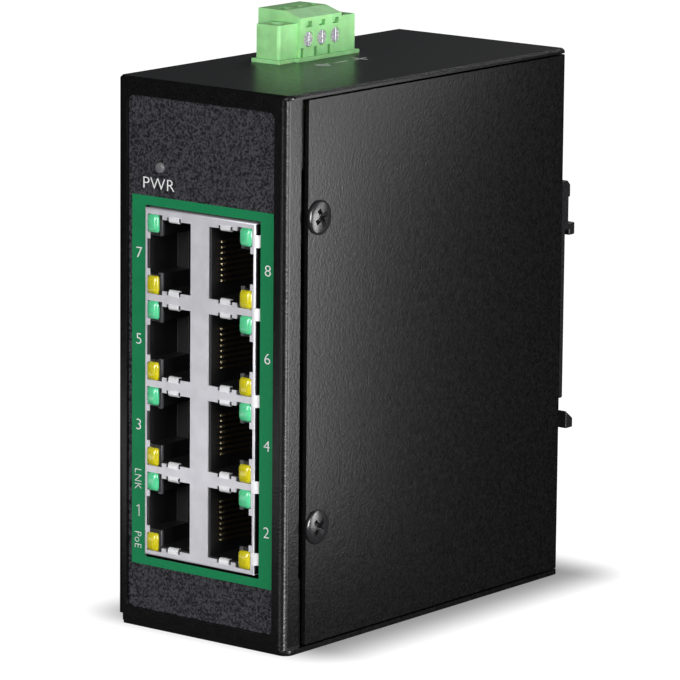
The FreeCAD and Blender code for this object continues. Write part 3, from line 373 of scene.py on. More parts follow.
TERMINAL = moulded("terminal_green", (0.25, 0.53, 0.225), 0.42, Subsurface_Weight=0.2,
                   Subsurface_Scale=0.0012, Specular_IOR_Level=0.2)
TINNED = brushed("tinned_copper", (0.72, 0.72, 0.74), 0.25, (1.0, 1.0, 0.3))
BRIGHT_SCREW = plated("bright_zinc", (0.70, 0.70, 0.74), 0.25, 0.3, metallic=0.6)
SPRING = brushed("spring_wire", (0.52, 0.53, 0.55), 0.25, (1.0, 1.0, 0.2))

NODE_FINISHES = {
    "main_shell": STEEL, "side_cover": STEEL, "side_screws": SCREW_BLACK, "front_label": OVERLAY,
    "power_light_pipe": PIPE_PLASTIC, "power_led": LAMP, "jack_shield": SHIELD,
    "jack_housing": JACK_PLASTIC, "jack_contacts": GOLD, "green_led_lenses": GREEN_LENS,
    "yellow_led_lenses": YELLOW_LENS, "main_board": BOARD, "board_standoffs": ZINC,
    "board_screws": ZINC, "cover_nuts": ZINC, "clip_nuts": ZINC, "clip_screws": ZINC,
    "switch_chip": EPOXY, "poe_controllers": EPOXY, "magnetics_modules": EPOXY,
    "power_inductors": EPOXY, "heat_sink": SINK, "electrolytic_capacitors": CAN,
    "clock_crystal": CAN, "input_fuse": CERAMIC, "terminal_header": TERMINAL,
    "plug_housing": TERMINAL, "header_pins": TINNED, "plug_contacts": TINNED,
    "clamp_cage_1": TINNED, "clamp_cage_2": TINNED, "clamp_cage_3": TINNED,
    "clamp_screw_1": BRIGHT_SCREW, "clamp_screw_2": BRIGHT_SCREW, "clamp_screw_3": BRIGHT_SCREW,
    "flange_screw_near": BRIGHT_SCREW, "flange_screw_far": BRIGHT_SCREW,
    "din_clip_base": CLIP_BLACK, "din_clip_latch": CLIP_BLACK, "latch_spring": SPRING,
}


def finish_nodes():
    """Gives every CAD node its material."""
    for name, thing in nodes.items():
        thing.data.materials.clear()
        thing.data.materials.append(NODE_FINISHES[name])


# Each CAD node whose edges are rounded: the width in millimetres and the number of segments.
SOFT_EDGES = {
    "main_shell": (0.16, 3), "side_cover": (0.30, 3), "front_label": (0.10, 2), "jack_housing": (0.10, 2),
    "power_light_pipe": (0.40, 4), "terminal_header": (0.12, 2), "plug_housing": (0.14, 2),
    "clamp_screw_1": (0.07, 2), "clamp_screw_2": (0.07, 2), "clamp_screw_3": (0.07, 2),
    "flange_screw_near": (0.07, 2), "flange_screw_far": (0.07, 2),
    "din_clip_base": (0.30, 3), "din_clip_latch": (0.20, 3),
}


def soften(name, width, segments):
    """Rounds a CAD node's sharp edges a little, for their highlights."""
    thing = nodes[name]
    thing.modifiers.new("join", "WELD").merge_threshold = 0.001 * MM
    flat = thing.modifiers.new("flat", "DECIMATE")
    flat.decimate_type = "DISSOLVE"
    flat.angle_limit = math.radians(0.5)
    bevel = thing.modifiers.new("bevel", "BEVEL")
    bevel.width = width * MM
    bevel.segments = segments
    bevel.limit_method = "ANGLE"
    bevel.angle_limit = math.radians(40)
    bevel.use_clamp_overlap = True
    bevel.harden_normals = True


# ---- Mesh building ----

def placed(name, data):
    """Puts data in the scene as an object."""
    thing = bpy.data.objects.new(name, data)
    bpy.context.scene.collection.objects.link(thing)
    return thing


def taken(name, mesh):
    """Mesh data from a mesh in the making, which is freed."""
    data = bpy.data.meshes.new(name)
    mesh.to_mesh(data)
    mesh.free()
    return data


def piece(name, mesh, material, body, sharp=35):
    """Puts a finished mesh in the scene as a piece that rides on a body."""
    bmesh.ops.remove_doubles(mesh, verts=mesh.verts, dist=1e-6)
    bmesh.ops.recalc_face_normals(mesh, faces=mesh.faces)
    data = taken(name, mesh)
    data.materials.append(material)
    for face in data.polygons:
        face.use_smooth = True
    data.set_sharp_from_angle(angle=math.radians(sharp))
    made = placed(name, data)
    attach(made, body)
    return made


def band(mesh, near, far):
    """Joins two closed loops of as many corners with a band of faces."""
    for index in range(len(near)):
        after = (index + 1) % len(near)
        mesh.faces.new((near[index], near[after], far[after], far[index]))


def tube(mesh, loops, closed=True):
    """Joins closed loops one to the next and covers the last one, and the first where it is closed."""
    for near, far in zip(loops, loops[1:]):
        band(mesh, near, far)
    mesh.faces.new(loops[-1])
    if closed:
        mesh.faces.new(loops[0])


def quarter():
    """The sine and cosine at each step of a quarter turn."""
    for step in range(BEND_STEPS + 1):
        turn = step / BEND_STEPS * math.pi / 2
        yield math.sin(turn), math.cos(turn)


def rectangle(low, high, y):
    """The corners of an upright rectangle that faces along Y, from its (x, z) corners."""
    (x0, z0), (x1, z1) = low, high
    return [(x0, y, z0), (x1, y, z0), (x1, y, z1), (x0, y, z1)]


def block(mesh, low, high):
    """Adds a box between two corners, each as (x, y, z) in metres."""
    made = bmesh.ops.create_cube(mesh, size=1.0)["verts"]
    low, high = Vector(low), Vector(high)
    bmesh.ops.scale(mesh, vec=high - low, verts=made)
    bmesh.ops.translate(mesh, vec=(low + high) / 2, verts=made)


def bent_strip(mesh, path, half, thick, across):
    """A strip bent along a path of points; across is the direction of its width."""
    loops = []
    for index, point in enumerate(path):
        before, after = path[max(index - 1, 0)], path[min(index + 1, len(path) - 1)]
        normal = across.cross(after - before).normalized() * thick / 2
        loops.append([mesh.verts.new(point + across * half * side + normal * face)
                      for side, face in ((-1, -1), (1, -1), (1, 1), (-1, 1))])
    tube(mesh, loops)


def place_on(thing, axis, centre):
    """Turns a mesh built round +Z so that it faces along an axis from a centre."""
    turn = Vector((0, 0, 1)).rotation_difference(axis).to_matrix().to_4x4()
    bmesh.ops.transform(thing, matrix=Matrix.Translation(centre) @ turn, verts=thing.verts)


def lathe(mesh, profile):
    """A closed turned solid round Z: the profile gives (radius, height) from the axis round to the axis."""
    angles = [math.tau * step / LATHE_STEPS for step in range(LATHE_STEPS)]
    rings = []
    for radius, height in profile:
        if radius == 0:
            rings.append([mesh.verts.new((0, 0, height))])
            continue
        rings.append([mesh.verts.new((radius * math.cos(a), radius * math.sin(a), height)) for a in angles])
    for near, far in zip(rings, rings[1:]):
        for step in range(LATHE_STEPS):
            after = (step + 1) % LATHE_STEPS
            corners = [near[step % len(near)], near[after % len(near)],
                       far[after % len(far)], far[step % len(far)]]
            mesh.faces.new(dict.fromkeys(corners))


def wedge(mesh, length, width, top):
    """A bar from a top plane down to z = 0 that narrows on its way: one arm pair of a cross recess."""
    loops = []
    for (long, wide), height in (((1.0, 1.0), top), (RECESS_FLOOR, 0.0)):
        half_x, half_y = length / 2 * long, width / 2 * wide
        loops.append([mesh.verts.new((x * half_x, y * half_y, height))
                      for x, y in ((-1, -1), (1, -1), (1, 1), (-1, 1))])
    tube(mesh, loops)


def carved(mesh, cutters):
    """A mesh less the cutters, each a closed mesh."""
    things = []
    for part in (mesh, *cutters):
        bmesh.ops.recalc_face_normals(part, faces=part.faces)
        things.append(placed("carving", taken("carving", part)))
    for cutter in things[1:]:
        modifier = things[0].modifiers.new("cut", "BOOLEAN")
        modifier.operation = "DIFFERENCE"
        modifier.solver = "EXACT"
        modifier.object = cutter
    bpy.context.view_layer.update()
    result = bmesh.new()
    result.from_object(things[0], bpy.context.evaluated_depsgraph_get())
    for thing in things:
        bpy.data.objects.remove(thing)
    return result


# ---- Screws and the latch spring ----

def cross_screw(head, shank, turn):
    """A pan-head screw round +Z with a cross recess; its head sits on the plane z = 0."""
    radius, thread = SCREW_RADIUS * MM, THREAD_RADIUS * MM
    body = bmesh.new()
    crown = [(radius * math.cos(a), head * (HEAD_EDGE + (1 - HEAD_EDGE) * math.sin(a)))
             for a in (math.radians(step * 15) for step in range(6))]
    lathe(body, [(0, -shank), (thread, -shank), (thread, 0), (radius, 0), (radius, head * HEAD_SIDE),
                 *crown, (0, head)])
    arms = []
    for angle in (turn, turn + 90):
        arm = bmesh.new()
        wedge(arm, RECESS * MM, RECESS * RECESS_WIDTH * MM, head * RECESS_START)
        bmesh.ops.transform(arm, matrix=Matrix.Rotation(math.radians(angle), 4, "Z"), verts=arm.verts)
        arms.append(arm)
    return carved(body, arms)


def build_screws():
    """Cross-recess heads on the side cover's screws and on the clip's screws."""
    sets = (
        ("side_screws", Vector((1, 0, 0)), "z", SCREW_BLACK, SIDE_HEAD * MM, SIDE_TURNS),
        ("clip_screws", Vector((0, 1, 0)), "x", ZINC, CLIP_HEAD * MM, CLIP_TURNS),
    )
    for name, axis, row, material, head, turns in sets:
        low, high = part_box(name)
        depth = (high - low).dot(axis)
        pair = bmesh.new()
        for inward, end, turn in zip((1, -1), (low, high), turns):
            centre = (low + high) / 2 + axis * (depth / 2 - head)
            setattr(centre, row, getattr(end, row) + inward * SCREW_RADIUS * MM)
            one = cross_screw(head, depth - head, turn)
            place_on(one, axis, centre)
            pair.from_mesh(taken("one", one))
        made = piece(f"{name}_heads", pair, material, "housing")
        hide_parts(name)


def build_spring():
    """A round-wire coil in place of the square one."""
    low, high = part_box("latch_spring")
    wire = SPRING_WIRE * MM / 2
    radius = (high.x - low.x) / 2 - wire
    centre = (low + high) / 2
    up = Vector((0, 0, 1))
    rise = high.z - low.z - 2 * wire
    last = SPRING_TURNS * SPRING_STEPS
    mesh = bmesh.new()
    loops = []
    for step in range(last + 1):
        angle = math.tau * step / SPRING_STEPS
        out = Vector((math.cos(angle), math.sin(angle), 0))
        middle = Vector((centre.x, centre.y, low.z + wire + rise * step / last)) + out * radius
        loops.append([mesh.verts.new(middle + (out * math.cos(a) + up * math.sin(a)) * wire)
                      for a in (math.tau * side / SPRING_SIDES for side in range(SPRING_SIDES))])
    tube(mesh, loops)
    coil = piece("latch_coil", mesh, SPRING, "housing", sharp=60)
    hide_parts("latch_spring")
    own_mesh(coil)


# ---- Ganged jacks ----

def ports():
    """Each port's number, side of the middle and centre height."""
    for row in range(ROWS):
        height = shield_middle + ((ROWS - 1) / 2 - row) * PORT_PITCH * MM + PORT_RISE * MM
        for side in (-1, 1):
            yield 2 * (ROWS - row) - 1 + (side > 0), side, height


def is_open(out, up):
    """Whether the shield's face is cut away at this distance from its middle and from a port's centre."""
    cavity = WEB_HALF < out < LENS_INNER and up < PORT_HALF
    notch = up < NOTCH_HALF and FINGER_HALF < abs(out - FINGER_OFFSET) < FINGER_HALF + NOTCH_WIDTH
    lens = LENS_INNER <= out < LENS_OUTER and up < LENS_TOP and up > LENS_LOW
    throat = LENS_INNER <= out < TOOTH_OUTER and up <= LENS_LOW
    slot = TOOTH_OUTER <= out < SLOT_OUTER and up < SLOT_HALF
    return cavity or notch or lens or throat or slot


def shield_edges():
    """The x and z of every edge in the shield's face, from its left to its right and from low to high."""
    half = (JACK_WIDTH / 2 - RIM) * MM
    notches = [FINGER_OFFSET + way * reach
               for way in (-1, 1) for reach in (FINGER_HALF, FINGER_HALF + NOTCH_WIDTH)]
    outs = [0.0, WEB_HALF, *notches, LENS_INNER, TOOTH_OUTER, LENS_OUTER, SLOT_OUTER]
    edges_x = {middle_x + side * out * MM for out in outs for side in (-1, 1)}
    edges_x |= {middle_x - half, middle_x + half}
    bottom, top = shield_low.z + RIM * MM, shield_high.z - RIM * MM
    edges_z = {bottom, top}
    for _, _, height in ports():
        for up in (SLOT_HALF, LENS_LOW, PORT_HALF, NOTCH_HALF, LENS_TOP):
            edges_z |= {height - up * MM, height + up * MM}
    return sorted(edges_x), sorted(z for z in edges_z if bottom <= z <= top)


def kept_cells(edges_x, edges_z):
    """The cells between the edges that the shield's face keeps, as (column, row)."""
    heights = {height for _, _, height in ports()}
    kept = set()
    for i, (x0, x1) in enumerate(zip(edges_x, edges_x[1:])):
        for j, (z0, z1) in enumerate(zip(edges_z, edges_z[1:])):
            out = abs((x0 + x1) / 2 - middle_x) / MM
            up = min(abs((z0 + z1) / 2 - height) for height in heights) / MM
            if not is_open(out, up):
                kept.add((i, j))
    return kept


def build_face():
    """The shield's pierced face, a plate with walls round its cut-outs."""
    edges_x, edges_z = shield_edges()
    kept = kept_cells(edges_x, edges_z)
    front, back = shield_low.y, shield_low.y + PLATE * MM
    mesh = bmesh.new()
    corners = {}

    def spot(i, j, y):
        if (i, j, y) not in corners:
            corners[i, j, y] = mesh.verts.new((edges_x[i], y, edges_z[j]))
        return corners[i, j, y]

    for i, j in sorted(kept):
        around = [(i, j), (i + 1, j), (i + 1, j + 1), (i, j + 1)]
        for y in (front, back):
            mesh.faces.new([spot(*place, y) for place in around])
        beside = [(i, j - 1), (i + 1, j), (i, j + 1), (i - 1, j)]
        for index, neighbour in enumerate(beside):
            if neighbour not in kept:
                a, b = around[index], around[(index + 1) % 4]
                mesh.faces.new([spot(*a, front), spot(*b, front), spot(*b, back), spot(*a, back)])
    piece("shield_face", mesh, SHIELD, "housing", sharp=50)


def build_rim():
    """The shield's rolled rim and its sides."""
    sections = [(RIM * MM * (1 - sine), shield_low.y + RIM * MM * (1 - cosine)) for sine, cosine in quarter()]
    sections.append((0.0, shield_high.y))
    half = JACK_WIDTH / 2 * MM
    mesh = bmesh.new()
    loops = []
    for inset, y in sections:
        low = (middle_x - half + inset, shield_low.z + inset)
        high = (middle_x + half - inset, shield_high.z - inset)
        loops.append([mesh.verts.new(corner) for corner in rectangle(low, high, y)])
    tube(mesh, loops, closed=False)
    rim = piece("shield_rim", mesh, SHIELD, "housing", sharp=50)
    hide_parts("jack_shield")


def build_fingers():
    """The shield's fingers, bent into each port's upper and lower edge."""
    mesh = bmesh.new()
    level = shield_low.y - FINGER_RISE * MM
    for _, side, height in ports():
        x = middle_x + side * FINGER_OFFSET * MM
        for way in (-1, 1):
            edge = height + way * (PORT_HALF + FINGER_START) * MM
            path = [Vector((x, level, edge + way * FINGER_ROOT * MM))]
            for sine, cosine in quarter():
                path.append(Vector((x, level + FINGER_BEND * MM * (1 - cosine),
                                    edge - way * FINGER_BEND * MM * sine)))
            path.append(path[-1] + Vector((0, FINGER_END[0], way * FINGER_END[1])) * MM)
            bent_strip(mesh, path, FINGER_HALF * FINGER_FIT * MM, SPRING_GAUGE * MM, Vector((1, 0, 0)))
    # The fingers are in the lighter nickel, a painted highlight.
    piece("shield_fingers", mesh, SHIELD_PAINTED_HIGHLIGHT, "housing", sharp=60)


def build_grounds():
    """The shield's grounding springs, bowed out at its right."""
    mesh = bmesh.new()
    start = middle_x + (JACK_WIDTH / 2 - GROUND_INSET) * MM
    out, deep = (radius * MM for radius in GROUND_RADII)
    for lift in GROUND_SPOTS:
        z = shield_middle + (lift + PORT_RISE) * MM
        path = [Vector((start + out * math.sin(turn), shield_low.y + deep * (1 - math.cos(turn)), z))
                for turn in (math.radians(angle) for angle in range(-10, 98, 12))]
        bent_strip(mesh, path, GROUND_HALF * MM, SPRING_GAUGE * MM, Vector((0, 0, 1)))
    # The springs are in the lighter nickel, a painted highlight.
    piece("shield_grounds", mesh, SHIELD_PAINTED_HIGHLIGHT, "housing", sharp=60)


def add_lens(mesh, x, z, width, height):
    """One lens: a dome over a rounded rectangle, with straight sides behind it."""
    ticks = [math.sin((step / LENS_STEPS - 0.5) * math.pi) for step in range(LENS_STEPS + 1)]
    grid = []
    for t in ticks:
        line = []
        for s in ticks:
            dome = (1 - abs(s) ** LENS_CROWN[0]) ** 0.5 * (1 - abs(t) ** LENS_CROWN[1]) ** 0.5
            line.append(mesh.verts.new((x + s * width / 2 * (1 - LENS_PINCH[0] * t ** 6) * MM,
                                        shield_low.y + (LENS_REST - LENS_BULGE * dome) * MM,
                                        z + t * height / 2 * (1 - LENS_PINCH[1] * s ** 6) * MM)))
        grid.append(line)
    for low, high in zip(grid, grid[1:]):
        for column in range(LENS_STEPS):
            mesh.faces.new((low[column], low[column + 1], high[column + 1], high[column]))
    border = [*grid[0], *(line[-1] for line in grid[1:-1]), *reversed(grid[-1]),
              *(line[0] for line in reversed(grid[1:-1]))]
    rear = [mesh.verts.new((vert.co.x, shield_low.y + LENS_LENGTH * MM, vert.co.z)) for vert in border]
    tube(mesh, (border, rear), closed=False)


def build_lenses():
    """Domed lenses in the corners of each port, green above and yellow below."""
    sets = (
        ("green_led_lenses", "green_lens_domes", 1, GREEN_LENS),
        ("yellow_led_lenses", "yellow_lens_domes", -1, YELLOW_LENS),
    )
    for name, domes, way, material in sets:
        mesh = bmesh.new()
        for _, side, height in ports():
            near = LENS_INSIDE[side > 0]
            add_lens(mesh, middle_x + side * (near + LENS_OUTER) / 2 * MM,
                     height + way * (LENS_LOW + LENS_TOP) / 2 * MM, LENS_OUTER - near, LENS_TOP - LENS_LOW)
        made = piece(domes, mesh, material, "housing", sharp=70)
        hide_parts(name)


def build_jack_plastic():
    """The housing's walls beside the lenses and its edges along the web, a little behind the shield."""
    mesh = bmesh.new()
    front = shield_low.y
    for _, side, height in ports():
        for way in (-1, 1):
            xs = sorted(middle_x + side * out * MM for out in WALL_OUT)
            zs = sorted(height + way * up * MM for up in WALL_UP)
            block(mesh, (xs[0], front + WALL_DEPTHS[0] * MM, zs[0]),
                  (xs[1], front + WALL_DEPTHS[1] * MM, zs[1]))
        xs = sorted(middle_x + side * out * MM for out in WEB_EDGE_OUT)
        block(mesh, (xs[0], front + WEB_EDGE_DEPTHS[0] * MM, height - PORT_HALF * MM),
              (xs[1], front + WEB_EDGE_DEPTHS[1] * MM, height + PORT_HALF * MM))
    # The walls are in the lighter grey copy of the black plastic, as painted light.
    walls = piece("jack_walls", mesh, PAINTED_LIGHT_WALL_PLASTIC, "housing", sharp=30)
    round_off(walls, WALL_ROUNDING, 2)


def build_contacts():
    """Eight contact wires in each port, darkened with painted shade, and full gold at their bent tips near
    the web.
    """
    wires, tips = bmesh.new(), bmesh.new()
    width = Vector((0, 0, 1))
    for _, side, height in ports():
        for pole in range(CONTACTS):
            z = height + (pole - (CONTACTS - 1) / 2) * CONTACT_PITCH * MM
            tip = Vector((middle_x + side * CONTACT_OUT * MM, shield_low.y + CONTACT_DEPTH * MM, z))
            path = [tip + Vector((side * out, deep, 0)) * MM for out, deep in WIRE_PATH]
            bent_strip(wires, path, WIRE_HALF * MM, WIRE_GAUGE * MM, width)
            bend = [(TIP_SHIFT - TIP_RADIUS * math.cos(turn), -TIP_RADIUS * math.sin(turn))
                    for turn in (step / 4 * math.pi for step in range(5))]
            path = [tip + Vector((side * out, deep, 0)) * MM for out, deep in (TIP_ROOT, *bend, TIP_END)]
            bent_strip(tips, path, TIP_HALF * MM, TIP_HALF * MM, width)
    # The wires' dark gold is painted shade inside the ports.
    wires = piece("contact_wires", wires, PAINTED_SHADE_GOLD, "housing", sharp=50)
    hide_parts("jack_contacts")
    piece("contact_tips", tips, GOLD, "housing", sharp=50)


def round_off(thing, width, segments):
    """Bevels a piece's sharp edges."""
    bevel = thing.modifiers.new("bevel", "BEVEL")
    bevel.width = width * MM
    bevel.segments = segments
    bevel.limit_method = "ANGLE"
    bevel.angle_limit = math.radians(40)


# ---- Front print ----

def text_mark(name, words, size, middle, turn, stretch=LETTER_STRETCH):
    """Printed words as a thin flat mesh, centred on a point."""
    curve = bpy.data.curves.new(name, "FONT")
    curve.body = words
    curve.size = size * MM
    curve.align_x = "CENTER"
    curve.align_y = "CENTER"
    curve.extrude = PRINT_THICK * MM
    curve.space_character = LETTER_SPACING
    curve.offset = LETTER_THINNING * MM
    made = placed(name, curve)
    made.matrix_world = Matrix.Translation(middle) @ turn
    bpy.context.view_layer.update()
    data = bpy.data.meshes.new_from_object(made.evaluated_get(bpy.context.evaluated_depsgraph_get()))
    data.transform(made.matrix_world @ Matrix.Diagonal((stretch, 1, 1, 1)))
    bpy.data.objects.remove(made)
    data.materials.clear()
    data.materials.append(PRINT_WHITE)
    made = placed(name, data)
    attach(made, "housing")


def stroke_mark(name, lines, width, middle, turn):
    """Printed strokes: each line is a run of points in millimetres, drawn as thin flat bars."""
    mesh = bmesh.new()
    lift = Vector((0, 0, PRINT_THICK * MM))
    for line in lines:
        for start, end in zip(line, line[1:]):
            a, b = Vector((*start, 0)) * MM, Vector((*end, 0)) * MM
            along = (b - a).normalized() * width / 2 * MM
            side = Vector((-along.y, along.x, 0))
            corners = [a - along - side, b + along - side, b + along + side, a - along + side]
            tube(mesh, [[mesh.verts.new(corner + rise) for corner in corners] for rise in (Vector(), lift)])
    bmesh.ops.transform(mesh, matrix=Matrix.Translation(middle) @ turn, verts=mesh.verts)
    thing = placed(name, taken(name, mesh))
    thing.data.materials.append(PRINT_WHITE)
    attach(thing, "housing")


def build_field(window):
    """The green field round the ports: a thin frame whose opening is the window's (x, z) corners."""
    low = (label_low.x + FIELD_LEFT_MARGIN * MM, label_low.z + FIELD_BOTTOM_MARGIN * MM)
    high = (label_high.x, label_high.z - FIELD_TOP_MARGIN * MM)
    mesh = bmesh.new()
    loops = [[mesh.verts.new(corner) for corner in rectangle(*box, y)]
             for box, y in (((low, high), label_low.y), ((low, high), label_low.y - PRINT_GAP * MM),
                            (window, label_low.y - PRINT_GAP * MM), (window, label_low.y))]
    for near, far in zip(loops, (*loops[1:], loops[0])):
        band(mesh, near, far)
    piece("green_field", mesh, FIELD_GREEN, "housing")


def build_front_print():
    """The green field, the port numbers and the words beside the lights."""
    left_gap, right_gap, end_gap = (gap * MM for gap in WINDOW_MARGIN)
    half = JACK_WIDTH / 2 * MM
    window = ((middle_x - half - left_gap, shield_low.z - end_gap),
              (middle_x + half + right_gap, shield_high.z + end_gap))
    build_field(window)
    level = label_low.y - 2 * PRINT_GAP * MM
    left_x = shell_low.x + COLUMN_INSET * MM
    right_x = (window[1][0] + label_high.x) / 2
    for number, side, height in ports():
        spot = Vector((left_x if side < 0 else right_x, level, height + COLUMN_RISE[side > 0] * MM))
        if number == 1:
            stroke_mark("port_number_1", DIGIT_ONE, DIGIT_STROKE, spot, FACING_FRONT)
        else:
            text_mark(f"port_number_{number}", str(number), NUMBER_SIZE, spot, FACING_FRONT)
    first_row = shield_middle - (ROWS - 1) / 2 * PORT_PITCH * MM
    for name, word, rise in (("link_word", "LNK", LINK_RISE), ("supply_word", "PoE", -SUPPLY_DROP)):
        spot = Vector((left_x - WORD_INSET * MM, level, first_row + rise * MM))
        text_mark(name, word, WORD_SIZE, spot, READING_DOWN, WORD_STRETCH)
    pipe_low, pipe_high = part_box("power_light_pipe")
    spot = Vector(((pipe_low.x + pipe_high.x) / 2 + POWER_SHIFT * MM, level, pipe_low.z - POWER_DROP * MM))
    text_mark("power_word", "PWR", POWER_SIZE, spot, FACING_FRONT)


def build_roof_marks():
    """Earth, minus and plus beside the terminals, printed on the roof and read from the right."""
    plug_low, plug_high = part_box("plug_housing")
    reading_right = Matrix.Rotation(math.radians(90), 4, "Z")
    for pole, (name, lines) in enumerate(POLE_MARKS.items()):
        y = plug_low.y + (MARK_FIRST + MARK_PITCH * pole) * MM
        spot = Vector((plug_high.x + MARK_GAP * MM, y, shell_high.z + PRINT_THICK * MM))
        lines = [[(x * MARK_SCALE, y * MARK_SCALE) for x, y in line] for line in lines]
        stroke_mark(name, lines, MARK_STROKE, spot, reading_right)


# ---- Stage, light and camera ----

CAMERA_AZIMUTH = 38.397
CAMERA_ELEVATION = 11.269
CAMERA_ROLL = 0.532
CAMERA_DISTANCE = 852.7
CAMERA_LENS = 271.74
CAMERA_TARGET = (-4.909, 0.0, 42.307)

# The world's tint and strength in reflections, and how white the camera sees it.
WORLD_TINT = (0.92, 0.95, 1.0, 1.0)
WORLD_STRENGTH = 0.058
WHITE = (1.0, 1.0, 1.0, 1.0)
WHITE_STRENGTH = 1.05

# The floor: its tone in reflections and to the camera, how far it reaches, how far below the feet it
# lies, and a painted contact shadow on it, which goes from dark at the case to white over its reach.
FLOOR_TONES = (0.02, 0.12)
FLOOR_HALF = 3000.0
FLOOR_GAP = 0.02
PAINTED_SHADOW = (0.22, 1.02)
PAINTED_SHADOW_REACH = 15.0

# Each softbox: where it stands and what it is aimed at in millimetres, its size, its power in watts and
# its roll in degrees. The black panels mirror the small low ones.
SOFTBOXES = {
    "front_box": ((80, -620, 260), (0, 0, 45), (350, 350), 3.4, 0),
    "side_box": ((700, -250, 160), (0, 0, 45), (350, 350), 3.0, 0),
    "top_box": ((60, -60, 700), (0, 0, 45), (500, 500), 0.35, 0),
    "rear_box": ((-120, 560, 520), (0, 30, 45), (300, 300), 1.3, 0),
    "right_box": ((104, 42, 60), (17, -45, 50), (36, 100), 0.036, -38),
    "right_low_box": ((94, 22, 34), (17, -45, 34), (30, 74), 0.056, 2),
    "edge_box": ((320, -60, 60), (10, -30, 45), (90, 120), 1.1, 0),
    "low_box": ((-60, -118, 8), (0, -41, 20), (110, 18), 0.010, 0),
    "corner_box": ((17, -360, 50), (10, -30, 40), (60, 100), 0.13, 0),
}


def toward(azimuth, elevation):
    """Unit vector from the object towards a view: azimuth 0 is the front, 90 its right side."""
    across, up = math.radians(azimuth), math.radians(elevation)
    return Vector((math.sin(across) * math.cos(up), -math.cos(across) * math.cos(up), math.sin(up)))


def build_camera():
    """The camera, at the measured distance and angle."""
    data = bpy.data.cameras.new("camera")
    data.lens = CAMERA_LENS
    data.sensor_width = 36.0
    data.clip_start, data.clip_end = 0.01, 20.0
    camera = placed("camera", data)
    back = toward(CAMERA_AZIMUTH, CAMERA_ELEVATION)
    camera.location = Vector(CAMERA_TARGET) * MM + back * CAMERA_DISTANCE * MM
    camera.rotation_mode = "QUATERNION"
    roll = Quaternion((0, 0, 1), math.radians(CAMERA_ROLL))
    camera.rotation_quaternion = (-back).to_track_quat("-Z", "Y") @ roll
    bpy.context.scene.camera = camera


def softbox(name, place, aim, size, power, roll):
    """A rectangular softbox at a place, aimed at a point and rolled."""
    data = bpy.data.lights.new(name, "AREA")
    data.shape = "RECTANGLE"
    data.size, data.size_y = size[0] * MM, size[1] * MM
    data.energy = power
    light = placed(name, data)
    light.location = Vector(place) * MM
    light.rotation_mode = "QUATERNION"
    facing = (Vector(aim) - Vector(place)).to_track_quat("-Z", "Y")
    light.rotation_quaternion = facing @ Quaternion((0, 0, 1), math.radians(roll))


def seen_white(tree, dark, bright):
    """A shader that is bright to the camera and dark to every other ray."""
    mix = tree.nodes.new("ShaderNodeMixShader")
    path = tree.nodes.new("ShaderNodeLightPath")
    tree.links.new(path.outputs["Is Camera Ray"], mix.inputs["Fac"])
    tree.links.new(dark, mix.inputs[1])
    tree.links.new(bright, mix.inputs[2])
    return mix.outputs["Shader"]


def build_world():
    """A world that is white to the camera and dark in the black case's reflections."""
    world = bpy.data.worlds.new("studio")
    bpy.context.scene.world = world
    world.use_nodes = True
    tree = world.node_tree
    dim = tree.nodes["Background"]
    white = tree.nodes.new("ShaderNodeBackground")
    for shader, tint, strength in ((dim, WORLD_TINT, WORLD_STRENGTH), (white, WHITE, WHITE_STRENGTH)):
        shader.inputs["Color"].default_value = tint
        shader.inputs["Strength"].default_value = strength
    shown = seen_white(tree, dim.outputs["Background"], white.outputs["Background"])
    tree.links.new(shown, tree.nodes["World Output"].inputs["Surface"])


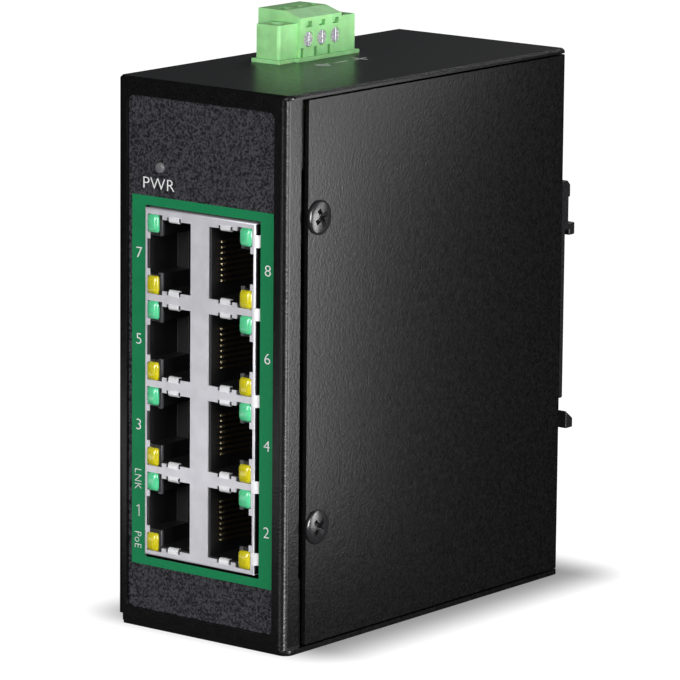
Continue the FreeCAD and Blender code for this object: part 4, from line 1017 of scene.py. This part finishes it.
def floor_paint():
    """White paint with a painted contact shadow round the case, dark in the case's reflections."""
    paint = bpy.data.materials.new("floor_paint")
    paint.use_nodes = True
    tree = paint.node_tree
    tree.nodes.remove(tree.nodes["Principled BSDF"])
    shades = []
    for tone in FLOOR_TONES:
        shade = tree.nodes.new("ShaderNodeBsdfDiffuse")
        shade.inputs["Color"].default_value = (tone, tone, tone, 1.0)
        shades.append(shade.outputs["BSDF"])
    away = tree.nodes.new("ShaderNodeTexCoord").outputs["Object"]
    for operation, amount in (("ABSOLUTE", None), ("SUBTRACT", (shell_high.x, shell_high.y, 0.0)),
                              ("MAXIMUM", (0.0, 0.0, 0.0)), ("LENGTH", None)):
        step = tree.nodes.new("ShaderNodeVectorMath")
        step.operation = operation
        tree.links.new(away, step.inputs[0])
        if amount:
            step.inputs[1].default_value = amount
        away = step.outputs["Value" if operation == "LENGTH" else "Vector"]
    # The emission is dimmer near the case: a painted contact shadow on the floor.
    fade = tree.nodes.new("ShaderNodeMapRange")
    fade.interpolation_type = "SMOOTHSTEP"
    for socket, value in zip(("From Min", "From Max", "To Min", "To Max"), (0.0, PAINTED_SHADOW_REACH * MM, *PAINTED_SHADOW)):
        fade.inputs[socket].default_value = value
    tree.links.new(away, fade.inputs["Value"])
    painted_glow = tree.nodes.new("ShaderNodeEmission")
    tree.links.new(fade.outputs["Result"], painted_glow.inputs["Strength"])
    lit = tree.nodes.new("ShaderNodeAddShader")
    tree.links.new(painted_glow.outputs["Emission"], lit.inputs[0])
    tree.links.new(shades[1], lit.inputs[1])
    shown = seen_white(tree, shades[0], lit.outputs["Shader"])
    tree.links.new(shown, tree.nodes["Material Output"].inputs["Surface"])
    return paint


def build_floor():
    """A plain floor under the case."""
    mesh = bmesh.new()
    bmesh.ops.create_grid(mesh, x_segments=8, y_segments=8, size=FLOOR_HALF * MM)
    floor = placed("floor", taken("floor", mesh))
    floor.location.z = shell_low.z - FLOOR_GAP * MM
    floor.data.materials.append(floor_paint())


bpy.context.scene.view_settings.view_transform = "Standard"
finish_nodes()
for soft_name, (soft_width, soft_steps) in SOFT_EDGES.items():
    soften(soft_name, soft_width, soft_steps)
build_screws()
build_spring()
build_face()
build_rim()
build_fingers()
build_grounds()
build_lenses()
build_jack_plastic()
build_contacts()
build_front_print()
build_roof_marks()
build_camera()
build_world()
build_floor()
for box_name, settings in SOFTBOXES.items():
    softbox(box_name, *settings)
